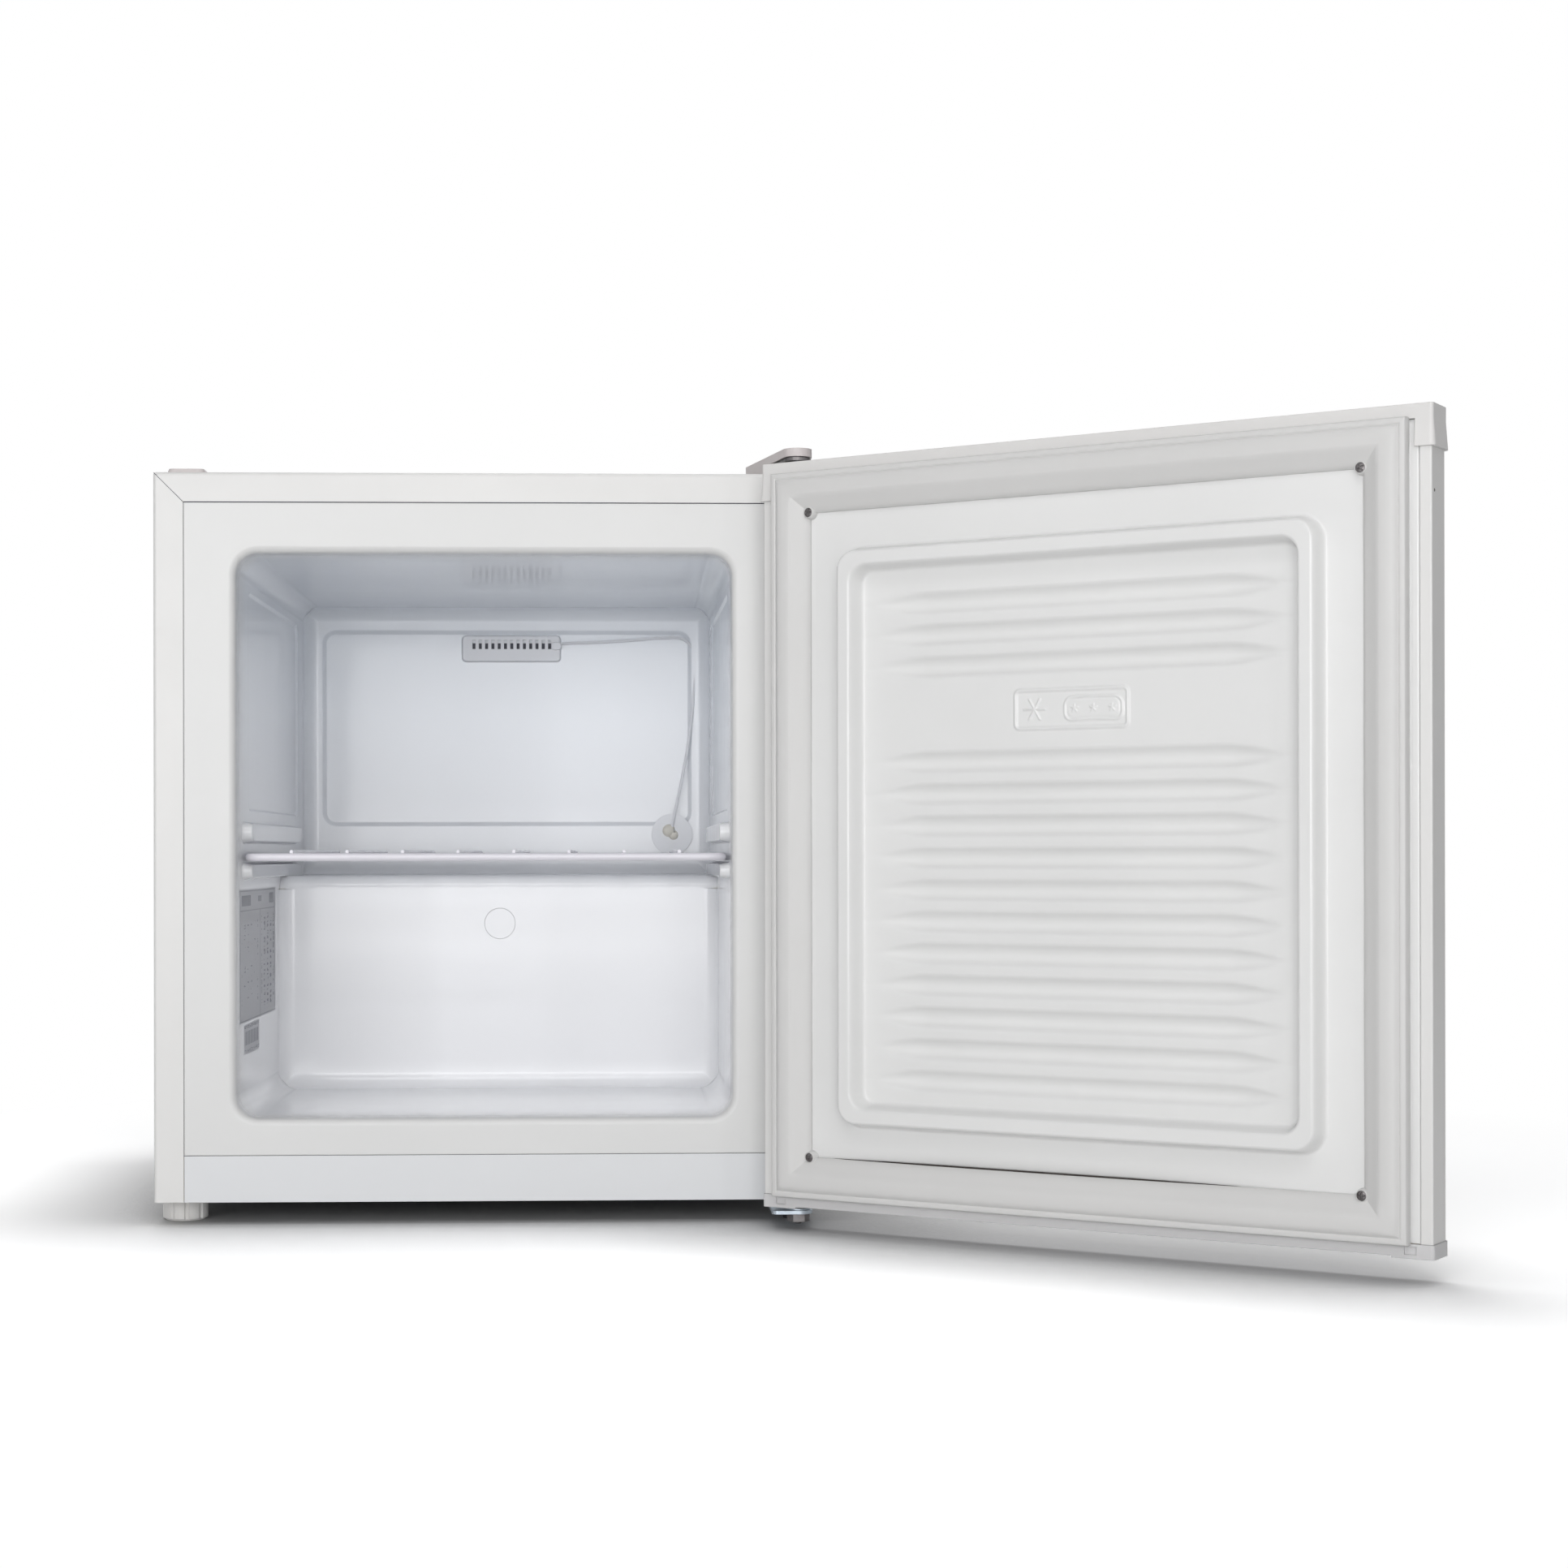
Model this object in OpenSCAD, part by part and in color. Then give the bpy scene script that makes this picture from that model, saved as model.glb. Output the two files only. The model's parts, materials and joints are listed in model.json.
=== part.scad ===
// Compact upright freezer with a side-hung door, standing on four feet.
// X runs to the right and Y to the back as seen from the front, and Z up. Inside this file the
// cabinet's front left bottom corner is the working origin, and placed() moves the whole freezer
// so that the floor is at Z = 0 and the middle of its floor plan is at X = Y = 0.

/* [Cabinet] */
// Width over the two side walls
cabinet_w = 440; // [425:1:470]
// Height of the cabinet without its feet
cabinet_h = 487; // [480:1:520]
// Depth of the cabinet without door and condenser
cabinet_d = 412; // [408:1:440]
// Thickness of the steel sheets
sheet_t = 0.7; // [0.5:0.1:0.9]
// Bending radius of the outer wrap's edges
wrap_r = 2.5; // [2:0.5:4]
// Width of the wrap's flange around the front
flange_w = 20; // [16:1:24]
// Width of the wrap's return flanges at the back and underneath
return_w = 10; // [8:1:12]
// Height of the separate rail under the front flange
rail_h = 31; // [26:1:36]
// Height of the feet
foot_h = 15; // [14:0.5:20]

/* [Cavity] */
// Insulated side wall, from the outside to the mouth of the cavity
wall_side = 54.2; // [50:0.2:58]
// Insulated top wall
wall_top = 53.5; // [50:0.5:58]
// Insulated bottom wall
wall_bottom = 55.5; // [52:0.5:60]
// Insulated back wall of the upper compartment
wall_back = 35.5; // [32:0.5:42]
// Depth of the compressor step, from the cabinet's back
step_len = 188.3; // [184:0.1:197]
// Height of the compressor step's top above the cabinet's bottom edge
step_top = 216; // [212:1:220]
// Corner radius of the mouth
mouth_r = 15; // [12:1:20]
// Radius of the rolled lip around the mouth
lip_r = 5; // [4:0.5:7]
// How much each wall draws in from the mouth to the back
wall_draft = 2.8; // [2:0.1:3.2]
// Radius of the inner edges at the back, the step and the floor
fillet_r = 11; // [8:1:14]
// Thickness of the vacuum-formed liners
liner_t = 2; // [1.5:0.1:2.2]

/* [Shelf and its runners] */
// How far a runner stands out of the side wall
runner_p = 7; // [6:0.5:9]
// Height of the lower runner's top
runner_z = 227; // [225:0.5:229]
// Clear height of the groove between the two runners
groove_h = 12; // [10:0.5:14]
// Diameter of the shelf's frame wire
frame_wire = 5.5; // [4:0.5:6]
// Diameter of the shelf's cross wires
cross_wire = 2.6; // [2:0.2:3.2]
// Distance between two cross wires
wire_pitch = 37.4; // [30:0.1:44]
// Depth of the shelf
shelf_d = 310; // [300:5:320]

/* [Door] */
// How much wider the door is than the cabinet
door_over = 4; // [2:0.5:6]
// How much lower the door is than the cabinet
door_under = 0.3; // [0:0.1:1.5]
// Thickness of the door without liner ring and seal
door_t = 25.5; // [22:0.5:30]
// Gap between cabinet front and the door's inner face, filled by the seal
seal_gap = 12.5; // [11:0.5:14]
// How far the door stands open, from closed
door_open = 145.4; // [90:0.1:160]
// Height of the end caps
cap_h = 8.5; // [7:0.5:12]
// Height of the ears at the ends of the top cap
ear_h = 24.5; // [20:0.5:30]
// Width of the seal
seal_w = 26.5; // [24:0.5:28]
// Height of the raised ring on the door liner
ring_h = 13; // [10:0.5:14]
// Width of the ring's crest
crest_w = 9.2; // [8:0.2:12]
// Distance between two grooves of the door liner
groove_pitch = 20.1; // [18:0.1:21]
// Distance from a groove's end to the ring of the door liner
groove_end = 9.8; // [7:0.1:24]

/* [Hinges] */
// Distance of the hinge axis from the cabinet's right side
hinge_in = 12.25; // [11:0.25:14]
// Distance of the hinge axis in front of the cabinet
hinge_out = 31.6; // [31:0.1:33]
// Diameter of the upper hinge pin
upper_pin_d = 7; // [6:0.5:8]
// Diameter of the lower hinge pin
lower_pin_d = 8; // [7:0.5:9]
// Thickness of the hinge brackets
bracket_t = 2.4; // [2:0.1:2.6]
// Radial running clearance of a pin in its bush
pin_play = 0.05; // [0.03:0.01:0.08]

/* [Cooling unit] */
// Radius of the compressor's shell
comp_r = 55; // [50:1:57]
// Height of the compressor's shell
comp_h = 138; // [130:1:142]
// Distance of the condenser's middle plane behind the cabinet
condenser_gap = 15; // [10:1:18]
// Diameter of the condenser tube
condenser_tube_d = 4.8; // [4:0.1:6]
// Distance between two runs of the condenser tube
condenser_pitch = 25; // [22:1:28]

/* [Hidden] */
$fn = 64;

fit_gap = 0.3;                  // between parts that lie beside each other
seat_gap = 0.1;                 // between parts that rest on each other
past = 1;                       // how far a cut runs past a face
blend = 0.05;                   // how far a rounding runs past the wall it meets

// Door and hinge, closed, in the cabinet's frame
door_w = cabinet_w + door_over;
door_h = cabinet_h - door_under;
hinge_x = cabinet_w - hinge_in;
hinge_y = -hinge_out;
door_x = (cabinet_w - door_w) / 2;
door_front = -seal_gap - door_t;
door_inner = -seal_gap;
door_lift = 0.45;               // how much higher the door hangs than in the middle
door_z = door_under / 2 + door_lift;
door_top = door_z + door_h;
door_r = 3;                     // rounding of the door's upright front edges
ear_t = 1;                      // how far caps and ears stand proud of the skin
ear_flare = 1.15;               // how much further the ears' tips stand out
strip_w = 7;                    // returns of the skin around the door liner
ear_w = 9.5;                    // how far the caps' ears reach around the edges
liner_face = door_inner + 1.5;  // visible face of the flat part of the door liner
liner_back = liner_face - liner_t - 2.2;    // back of the liner's lowered rim
part_shift = 1;                 // ring and seal sit this much towards the hinge
part_x = cabinet_w / 2 + part_shift;
part_z = door_z + door_h / 2;
spare_x = 2 * door_x + door_w - hinge_x;
bush_r = hinge_y - door_front - sheet_t - seat_gap;
plug_r = 6;

// Seal and the raised ring of the door liner
seal_side = 11.3;               // from the door's side to the seal
seal_end = 8;                   // from the door's end to the seal
seal_out_w = door_w - 2 * seal_side;
seal_out_h = door_h - 2 * seal_end;
seal_top = seal_gap - 1.5 - fit_gap;
lip_top = 8;                    // outer lip of the seal
liner_screw_spots = [for (sx = [-1, 1], sz = [-1, 1])
    [part_x + sx * (seal_out_w / 2 - seal_w), part_z + sz * (seal_out_h / 2 - seal_w)]];
ring_side = 62;                 // from the door's side to the ring's foot
ring_end = 58.6;                // from the door's end to the ring's foot
ring_w = door_w - 2 * ring_side;
ring_high = door_h - 2 * ring_end;
ring_z = part_z - 1.6;
ring_r = 14;
ring_draft = 2;                 // outer side
well_draft = 3;                 // inner side
well_r = 8;
groove_in = 37.45;              // from the ring's foot to the first groove
groove_low = 28;                // clear of the last groove
groove_len = ring_w - 2 * (ring_draft + crest_w + well_draft) - 2 * groove_end;
groove_top = ring_z + ring_high / 2 - groove_in;
groove_last = floor((ring_high - groove_in - groove_low) / groove_pitch);
groove_rows = [for (i = [0 : groove_last]) if (i < 3 || i > 4) i];
spindle_r = 9;                  // radius of the form that presses a groove
spindle_out = 6;                // its axis in front of the liner's face

// Floor plan of the freezer with its door open, for the origin
function swing(x, y) = [
    hinge_x + (x - hinge_x) * cos(door_open) - (y - hinge_y) * sin(door_open),
    hinge_y + (x - hinge_x) * sin(door_open) + (y - hinge_y) * cos(door_open)];
reach_right = swing(door_x + door_r, door_front + door_r)[0] + door_r + ear_t + ear_flare;
seal_x = part_x - seal_out_w / 2;
reach_front = min(swing(seal_x, liner_face + lip_top)[1],
    swing(seal_x + 4, liner_face + seal_top)[1],
    swing(door_x + 1, door_inner - 1)[1] - 1 - ear_t - ear_flare);
wire_d = 1.4;                   // condenser wires
clip_out = condenser_tube_d / 2 + wire_d + 0.2;
reach_back = cabinet_d + condenser_gap + clip_out;
origin_x = reach_right / 2;
origin_y = (reach_front + reach_back) / 2;

// Cavity
cavity_d = cabinet_d - wall_back;
step_d = cabinet_d - step_len;
cavity_w = cabinet_w - 2 * wall_side;
cavity_h = cabinet_h - wall_top - wall_bottom;
cavity_x = cabinet_w / 2;
cavity_z = wall_bottom + cavity_h / 2;
nose_r = 10;                    // rounded edge of the compressor step
recess_d = 3;                   // sunk panel of the back wall
recess_side = 15.8;             // from the side wall to that panel, at the mouth's width
recess_bottom = 38;             // from the step's top to that panel
recess_top = 19.5;              // from the ceiling at the mouth to that panel
recess_w = cavity_w - 2 * recess_side;
recess_h = cabinet_h - wall_top - recess_top - step_top - recess_bottom;
recess_z = step_top + recess_bottom + recess_h / 2;
recess_y = cavity_d + recess_d;
panel_d = 1.6;                  // sunk panels of the side walls
panel_front = 60;
panel_back = 46;                // from the back wall
panel_y = cabinet_d - 2 * sheet_t - seat_gap;
rail_return = 15;
rail_top = 9;

// Thermostat sensor and the grommet its tube leaves through
sensor_x = cabinet_w / 2 + 3.2;
sensor_in = 15.5;               // below the sunk panel's upper edge
sensor_z = recess_z + recess_h / 2 - sensor_in;
sensor_r = 1.15;
sensor_y = recess_y - 2 * seat_gap - sensor_r;
grommet_side = 32.8;            // from the side wall at the mouth
grommet_up = 32;                // above the step
grommet_x = cabinet_w - wall_side - grommet_side;
grommet_z = step_top + grommet_up;
grommet_r = 16.5;
grommet_t = 2;
grommet_hub_r = 6.7;
hub_len = 10;

// Runners
runner_front = 30;
runner_len = 287;
lower_runner_h = 13;
upper_runner_h = 16;
runner_draft = 2.2;
shelf_z = runner_z + frame_wire / 2 + fit_gap;
shelf_y = 17.5;                 // front of the shelf
shelf_side = 2.9;               // from the mouth's side to the shelf

// Machine bay behind and under the step
bay_wall = 44;                  // insulation between cavity and bay
bay_front = step_d + bay_wall;
bay_top = step_top - bay_wall;
deck_z = sheet_t + seat_gap;
deck_top = deck_z + sheet_t * 2;
comp_x = 150;
comp_y = (bay_front + cabinet_d) / 2 + 5;
grommet_h = 12;
comp_foot_z = deck_top + grommet_h;
comp_foot_t = 3;
comp_z = comp_foot_z + comp_foot_t;
seam_z = 62;                    // weld seam of the compressor's shell
seam_h = 4;
seam_out = 3;
shell_low_r = 22;
shell_top_r = 26;
foot_x = comp_r + 5;            // the compressor's four feet, from its middle
foot_y = comp_r - 18;
foot_hole_r = 3.6;
plate_side = 11;                // from a foot's hole to the plate's side
plate_end = 10;
plate_r = 12;
relay_w = 34;
relay_d = 46;
relay_h = 48;
port_z = comp_z + 30;
port_x = comp_r + 1;            // ends of the compressor's stubs
port_y = 35;
port_r = 4.5;
port_in = 40;
ports = [[port_x, port_y], [-port_x, port_y], [-port_x, -port_y]];
suction_x = 62;                 // where the suction tube enters the foam
capillary_x = 44;               // where the capillary enters it
capillary_in = 30;              // from the drier to the capillary's inner run
capillary_side = 14;
capillary_low = 15;
capillary_under = 32;
pipe_in = 82;                   // both in front of the cabinet's back
pipe_y = cabinet_d - pipe_in;
pipe_hole_r = 4;
pipe_top = bay_top + 25;
drier_y = cabinet_d - 17;
drier_z = 40;
drier_h = 84;
drier_r = 8;
drier_cone = 13;                // from the drier's end to its full width
box_in = 140;                   // its left side, from the cabinet's right side
box_x = cabinet_w - box_in;
box_y = cabinet_d - 28;
box_w = 72;
box_h = 70;
box_d = 26;
knob_x = box_x + 23;
gland_x = box_x + 56;
knob_z = bay_top - 38;
shaft_r = 3;
earth_x = 262;
earth_y = cabinet_d - 20;

// Condenser
cond_x0 = 38;
cond_x1 = cabinet_w - 52;
cond_y = cabinet_d + condenser_gap;
cond_z0 = bay_top + 26;
cond_runs = 2 * floor((cabinet_h - 18 - cond_z0) / condenser_pitch / 2);
cond_top = cond_z0 + cond_runs * condenser_pitch;
cond_down = cabinet_w - 38;
cond_bend = min(12, condenser_pitch / 2 - 0.3);
cond_low = 60;                  // where the tube ends on its way down at the right

// Evaporator
evap_r = 3;
evap_pitch = 30;
evap_turns = 5;

// Feet
foot_left = [15.6, 35];
foot_right = [hinge_x, 22];
foot_r = 15;
foot_flutes = 9;
flute_r = 1.7;
small_foot_r = 9.3;
stud_d = 8;
insert_r = 8;
insert_top = 18;
rear_foot_in = 30;
rear_foot_r = 11;
rear_foot_y = cabinet_d - 27;

// Plan of the upper hinge and its cover
nose_cover_r = 9.6;
cover_back = 50;
cover_side = 30;                // from the hinge axis to the cover's left back corner
cover_right = 9;
cover_top = cabinet_h + 11.3;
lower_left = 17.7;              // lower bracket, from the hinge axis to its left side
lower_in = 3;                   // from the cabinet's right side to its right side
lower_nose = 9.5;               // how far it reaches in front of the hinge axis
arm_z = door_top + 2.9;         // underside of the upper hinge's arm
lower_arm_top = door_z - 2.9;   // top of the lower hinge's arm
upper_screws = [[hinge_x - 18, 38], [hinge_x - 2, 38]];
lower_screws = [[hinge_x - 11, 42], [hinge_x + 2, 42]];

// ---------------------------------------------------------------- helpers

// Moves the working frame to the frame of the finished part.
module placed() {
    translate([-origin_x, -origin_y, foot_h]) children();
}

// Carries what is drawn on the closed door to where the door stands open.
module on_door() {
    placed()
        translate([hinge_x, hinge_y, 0])
            rotate([0, 0, door_open])
                translate([-hinge_x, -hinge_y, 0]) children();
}

// Extrudes an outline drawn in X and Z along Y.
module along_y(y, length) {
    translate([0, y + length, 0]) rotate([90, 0, 0]) linear_extrude(length) children();
}

// Extrudes an outline drawn in Y and Z along X.
module along_x(x, length) {
    translate([x, 0, 0]) rotate([90, 0, 90]) linear_extrude(length) children();
}

// Sizes are kept to hundredths, so that roundings meet their flats exactly.
function grid(v) = round(v * 100) / 100;

// Rectangle with its own radius at each corner, from the lower left one round.
module card(width, height, r) {
    w = grid(width);
    h = grid(height);
    polygon([
        each (r[0] > 0 ? [[0, r[0]], [r[0], 0]] : [[0, 0]]),
        each (r[1] > 0 ? [[w - r[1], 0], [w, r[1]]] : [[w, 0]]),
        each (r[2] > 0 ? [[w, h - r[2]], [w - r[2], h]] : [[w, h]]),
        each (r[3] > 0 ? [[r[3], h], [0, h - r[3]]] : [[0, h]])]);
    if (r[0] > 0) translate([r[0], r[0]]) circle(r[0]);
    if (r[1] > 0) translate([w - r[1], r[1]]) circle(r[1]);
    if (r[2] > 0) translate([w - r[2], h - r[2]]) circle(r[2]);
    if (r[3] > 0) translate([r[3], h - r[3]]) circle(r[3]);
}

// The same rectangle centred, with one radius.
module centred_card(w, h, r) {
    half_w = grid(w / 2);
    half_h = grid(h / 2);
    translate([-half_w, -half_h]) card(2 * half_w, 2 * half_h, grid(r) * [1, 1, 1, 1]);
}

// Moulded block with rounded corners, standing on Z = 0, that draws in by draft over its height.
module drafted(width, depth, corner, draw, height) {
    w = grid(width / 2);
    d = grid(depth / 2);
    r = grid(corner);
    in = grid(draw);
    t = grid(height);
    for (sx = [-1, 1], sy = [-1, 1])
        translate([sx * (w - r), sy * (d - r), 0]) cylinder(h = t, r1 = r, r2 = r - in);
    along_y(r - d, 2 * (d - r)) polygon([[-w, 0], [w, 0], [w - in, t], [in - w, t]]);
    along_x(r - w, 2 * (w - r)) polygon([[-d, 0], [d, 0], [d - in, t], [in - d, t]]);
}

// Turns what stands on the XY plane so that it stands on the cabinet's front and points back.
module facing_back(x, y, z) {
    translate([x, y, z]) rotate([-90, 0, 0]) children();
}

function unit(v) = v / norm(v);
function frame_of(o, x, y, z) = [
    [x[0], y[0], z[0], o[0]], [x[1], y[1], z[1], o[1]], [x[2], y[2], z[2], o[2]], [0, 0, 0, 1]];
function across(d) = unit(cross(abs(d[2]) < 0.9 ? [0, 0, 1] : [1, 0, 0], d));
function turn(a, b) = acos(max(-1, min(1, a * b)));

// Round bar from one point to another.
module stick(a, b, r) {
    d = unit(b - a);
    u = across(d);
    multmatrix(frame_of(a, u, cross(d, u), d)) cylinder(h = norm(b - a), r = r);
}

// Bent tube or wire through points, with the same bending radius at each inner point.
module bent(points, r, bend, closed = false) {
    n = len(points);
    function at(i) = points[(i + n) % n];
    function has_bend(i) = closed || (i > 0 && i < n - 1);
    function trim(i) = has_bend(i)
        ? bend * tan(turn(unit(at(i) - at(i - 1)), unit(at(i + 1) - at(i))) / 2) : 0;
    for (i = [0 : closed ? n - 1 : n - 2]) {
        d = unit(at(i + 1) - at(i));
        stick(at(i) + d * trim(i), at(i + 1) - d * trim(i + 1), r);
    }
    for (i = [0 : n - 1]) if (has_bend(i)) {
        d = unit(at(i) - at(i - 1));
        e = unit(at(i + 1) - at(i));
        side = unit(e - d * (d * e));
        multmatrix(frame_of(at(i) - d * trim(i) + side * bend, -side, d, cross(-side, d)))
            rotate_extrude(angle = turn(d, e)) translate([bend, 0]) circle(r);
    }
}

module hexagon_prism(flats, h) {
    cylinder(h = h, r = flats / sqrt(3), $fn = 6);
}

// ---------------------------------------------------------------- cabinet casing

// Outer block of the cabinet with its faces set in by o, open below and behind.
module cabinet_block(o) {
    r = max(wrap_r - o, 0.4);
    w = cabinet_w - 2 * o;
    intersection() {
        along_y(o, cabinet_d - o) translate([o, 0]) card(w, cabinet_h - o, [0, 0, r, r]);
        linear_extrude(cabinet_h) translate([o, o]) card(w, cabinet_d - o, [r, r, 0, 0]);
        along_x(o, w) translate([o, 0]) card(cabinet_d - o, cabinet_h - o, [0, 0, 0, r]);
    }
}

// Upright holes for the studs of the two front feet.
module stud_holes(r) {
    for (p = [foot_left, foot_right]) translate([p[0], p[1], -past]) cylinder(h = 5, r = r);
}

// Mitre gap across an upper corner of the wrap's front flange.
module mitre_gap(x, angle) {
    translate([x, 0, cabinet_h]) rotate([0, angle, 0])
        cube([fit_gap, 2 * sheet_t + fit_gap, 4 * flange_w], center = true);
}

module outer_wrap() {
    open_w = cabinet_w - 2 * return_w;
    placed() color("gainsboro") difference() {
        cabinet_block(0);
        intersection() {
            cabinet_block(sheet_t);
            translate([0, 0, sheet_t]) cube([cabinet_w, cabinet_d - sheet_t, cabinet_h]);
        }
        translate([flange_w, -past, -past])
            cube([cabinet_w - 2 * flange_w, 2 * past, cabinet_h - flange_w + past]);
        translate([return_w, past / 2, -past]) cube([open_w, cabinet_d - sheet_t, 2 * past]);
        translate([return_w, cabinet_d - 2 * past, -past])
            cube([open_w, 3 * past, cabinet_h - return_w + past]);
        stud_holes(stud_d / 2 + past);
        mitre_gap(0, -45);
        mitre_gap(cabinet_w, 45);
    }
}

module back_panel() {
    placed() color("lightgray") along_y(panel_y, sheet_t)
        translate([seat_gap + sheet_t, bay_top + sheet_t + seat_gap])
            square([cabinet_w - 2 * (seat_gap + sheet_t),
                cabinet_h - bay_top - 2 * (sheet_t + seat_gap)]);
}

// One folded sheet: floor under the foam, riser in front of the compressor and its ceiling.
module base_panel() {
    z = sheet_t + seat_gap;
    x = sheet_t + seat_gap;
    placed() color("silver") difference() {
        along_x(x, cabinet_w - 2 * x)
            polygon([[rail_return + fit_gap, z], [bay_front, z], [bay_front, bay_top],
                [panel_y - seat_gap, bay_top], [panel_y - seat_gap, bay_top + sheet_t],
                [bay_front - sheet_t, bay_top + sheet_t], [bay_front - sheet_t, z + sheet_t],
                [rail_return + fit_gap, z + sheet_t]]);
        stud_holes(stud_d / 2 + past);
        for (x = [suction_x, capillary_x]) translate([x, pipe_y, bay_top - past])
            cylinder(h = 4, r = pipe_hole_r);
    }
}

// Pressed rail across the foot of the cabinet's front.
module front_rail() {
    x = flange_w + fit_gap;
    placed() color("gainsboro") along_x(x, cabinet_w - 2 * x)
        polygon([[0, 0], [rail_return, 0], [rail_return, sheet_t], [sheet_t, sheet_t],
            [sheet_t, rail_h - sheet_t], [rail_top, rail_h - sheet_t], [rail_top, rail_h],
            [0, rail_h]]);
}

// ---------------------------------------------------------------- cavity liner

slope = wall_draft / cavity_d;

// The cavity's four drafted walls from y0 on, moved out by o.
module cavity_walls(o, y0) {
    length = cavity_d + recess_d + liner_t + past - y0;
    grow = o - slope * y0;
    facing_back(cavity_x, y0, cavity_z)
        drafted(cavity_w + 2 * grow, cavity_h + 2 * grow, mouth_r + grow, slope * length, length);
}

// Side view of the cavity, with the compressor step and its rounded inner edges.
module cavity_side(o) {
    r = fillet_r + o;
    top = grid(cabinet_h - wall_top - slope * (cavity_d - fillet_r) + o + blend);
    bottom = grid(wall_bottom + slope * (step_d - fillet_r) - o - blend);
    ledge = step_top - o;
    wide = 2 * fillet_r + liner_t;
    translate([-2 * past, ledge]) square([cavity_d - fillet_r + 2 * past, cabinet_h - ledge]);
    translate([cavity_d - wide, ledge]) card(wide + o, top - ledge, [0, r, r, 0]);
    translate([-2 * past, 0]) square([step_d - fillet_r + 2 * past, step_top]);
    translate([step_d - wide, bottom]) card(wide + o, step_top - bottom + past, [0, r, 0, 0]);
    difference() {
        translate([step_d + o - past, step_top - nose_r]) square(nose_r - o + past);
        translate([step_d + nose_r, step_top - nose_r]) circle(nose_r - o);
        translate([step_d + nose_r, 0]) square([nose_r, step_top]);
    }
}

// Plan view of one compartment of the given depth, rounded at its back.
module cavity_plan(o, depth) {
    r = fillet_r + o;
    side = grid(wall_side + slope * (depth - fillet_r) - o - blend);
    wide = 2 * fillet_r + liner_t;
    translate([0, -2 * past]) square([cabinet_w, depth - fillet_r + 2 * past]);
    translate([side, depth - wide]) card(cabinet_w - 2 * side, wide + o, [0, 0, r, r]);
}

// What the rolled lip opens around the mouth.
module mouth_flare(o, y0) {
    w = grid(cavity_w / 2 + lip_r - slope * lip_r);
    h = grid(cavity_h / 2 + lip_r - slope * lip_r);
    corner = grid(mouth_r + lip_r - slope * lip_r);
    in = grid(blend);
    difference() {
        translate([cavity_x, 0, cavity_z]) along_y(y0, lip_r - y0) centred_card(2 * w, 2 * h, corner);
        translate([cavity_x, lip_r - in, cavity_z])
            bent([[in - w, 0, in - h], [w - in, 0, in - h], [w - in, 0, h - in], [in - w, 0, h - in]],
                lip_r - o, corner - in, closed = true);
    }
}

// One moulded runner on the left wall; o makes it smaller for the liner's foam side.
module runner(z, h, o) {
    r = h / 2 - o - 0.5;
    translate([wall_side - 2 * liner_t, runner_front + runner_len / 2, z + h / 2])
        rotate([90, 0, 90])
            drafted(runner_len - 2 * o, h - 2 * o, r, min(runner_draft, r - 0.3),
                2 * liner_t + runner_p - o);
}

// Sunk panel of the left wall.
module side_panel(o) {
    z0 = runner_z + groove_h + upper_runner_h + 6;
    z1 = cabinet_h - wall_top - recess_top;
    y1 = cavity_d - panel_back;
    mid = (panel_front + y1) / 2;
    depth = past + panel_d;
    translate([wall_side + slope * mid, mid, (z0 + z1) / 2])
        rotate([0, 0, -atan(slope)]) rotate([90, 0, -90]) translate([0, 0, o - past])
            drafted(y1 - panel_front + o, z1 - z0 + o, 10 + o / 2, depth, depth);
}

module both_sides() {
    children();
    translate([cabinet_w, 0, 0]) mirror([1, 0, 0]) children();
}

// The room inside the liner; o = liner_t gives the same room with the liner's own thickness.
module cavity_form(o, y0) {
    split = step_top - nose_r;
    depth = past + recess_d;
    difference() {
        union() {
            intersection() {
                cavity_walls(o, y0);
                along_x(0, cabinet_w) cavity_side(o);
                union() {
                    translate([0, 0, split]) linear_extrude(cabinet_h) cavity_plan(o, cavity_d);
                    linear_extrude(split) cavity_plan(o, step_d);
                }
            }
            facing_back(cavity_x, cavity_d + o - past, recess_z)
                drafted(recess_w + o, recess_h + o, 12 + o / 2, depth, depth);
            both_sides() side_panel(o);
            mouth_flare(o, y0);
        }
        both_sides() {
            runner(runner_z - lower_runner_h, lower_runner_h, o);
            runner(runner_z + groove_h, upper_runner_h, o);
        }
    }
}

module cabinet_liner() {
    x = flange_w + fit_gap;
    placed() color("whitesmoke") difference() {
        union() {
            translate([x, 0, rail_h + fit_gap])
                cube([cabinet_w - 2 * x, liner_t, cabinet_h - rail_h - flange_w - 2 * fit_gap]);
            cavity_form(liner_t, liner_t / 2);
        }
        cavity_form(0, -past);
        translate([grommet_x, 0, grommet_z]) along_y(cavity_d - past, 2 * liner_t) circle(grommet_hub_r);
    }
}

// Foamed-in insulation between casing and liner.
module cabinet_foam() {
    z = 2 * sheet_t + seat_gap;
    placed() color("khaki") difference() {
        intersection() {
            cabinet_block(sheet_t);
            translate([0, liner_t, z]) cube([cabinet_w, panel_y - liner_t, cabinet_h]);
        }
        translate([-past, bay_front - sheet_t, -past])
            cube([cabinet_w + 2 * past, cabinet_d, bay_top + sheet_t + past]);
        translate([flange_w, 0, rail_h - sheet_t])
            cube([cabinet_w - 2 * flange_w, rail_top + seat_gap, sheet_t + seat_gap]);
        cavity_form(liner_t, -past);
        evaporator_route();
        translate([grommet_x, 0, grommet_z])
            along_y(cavity_d, hub_len + 1) circle(grommet_hub_r);
        for (p = [foot_left, foot_right])
            translate([p[0], p[1], 0]) cylinder(h = insert_top, r = insert_r);
        for (x = [suction_x, capillary_x]) translate([x, pipe_y, 0]) cylinder(h = pipe_top, r = pipe_hole_r);
    }
}

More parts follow.
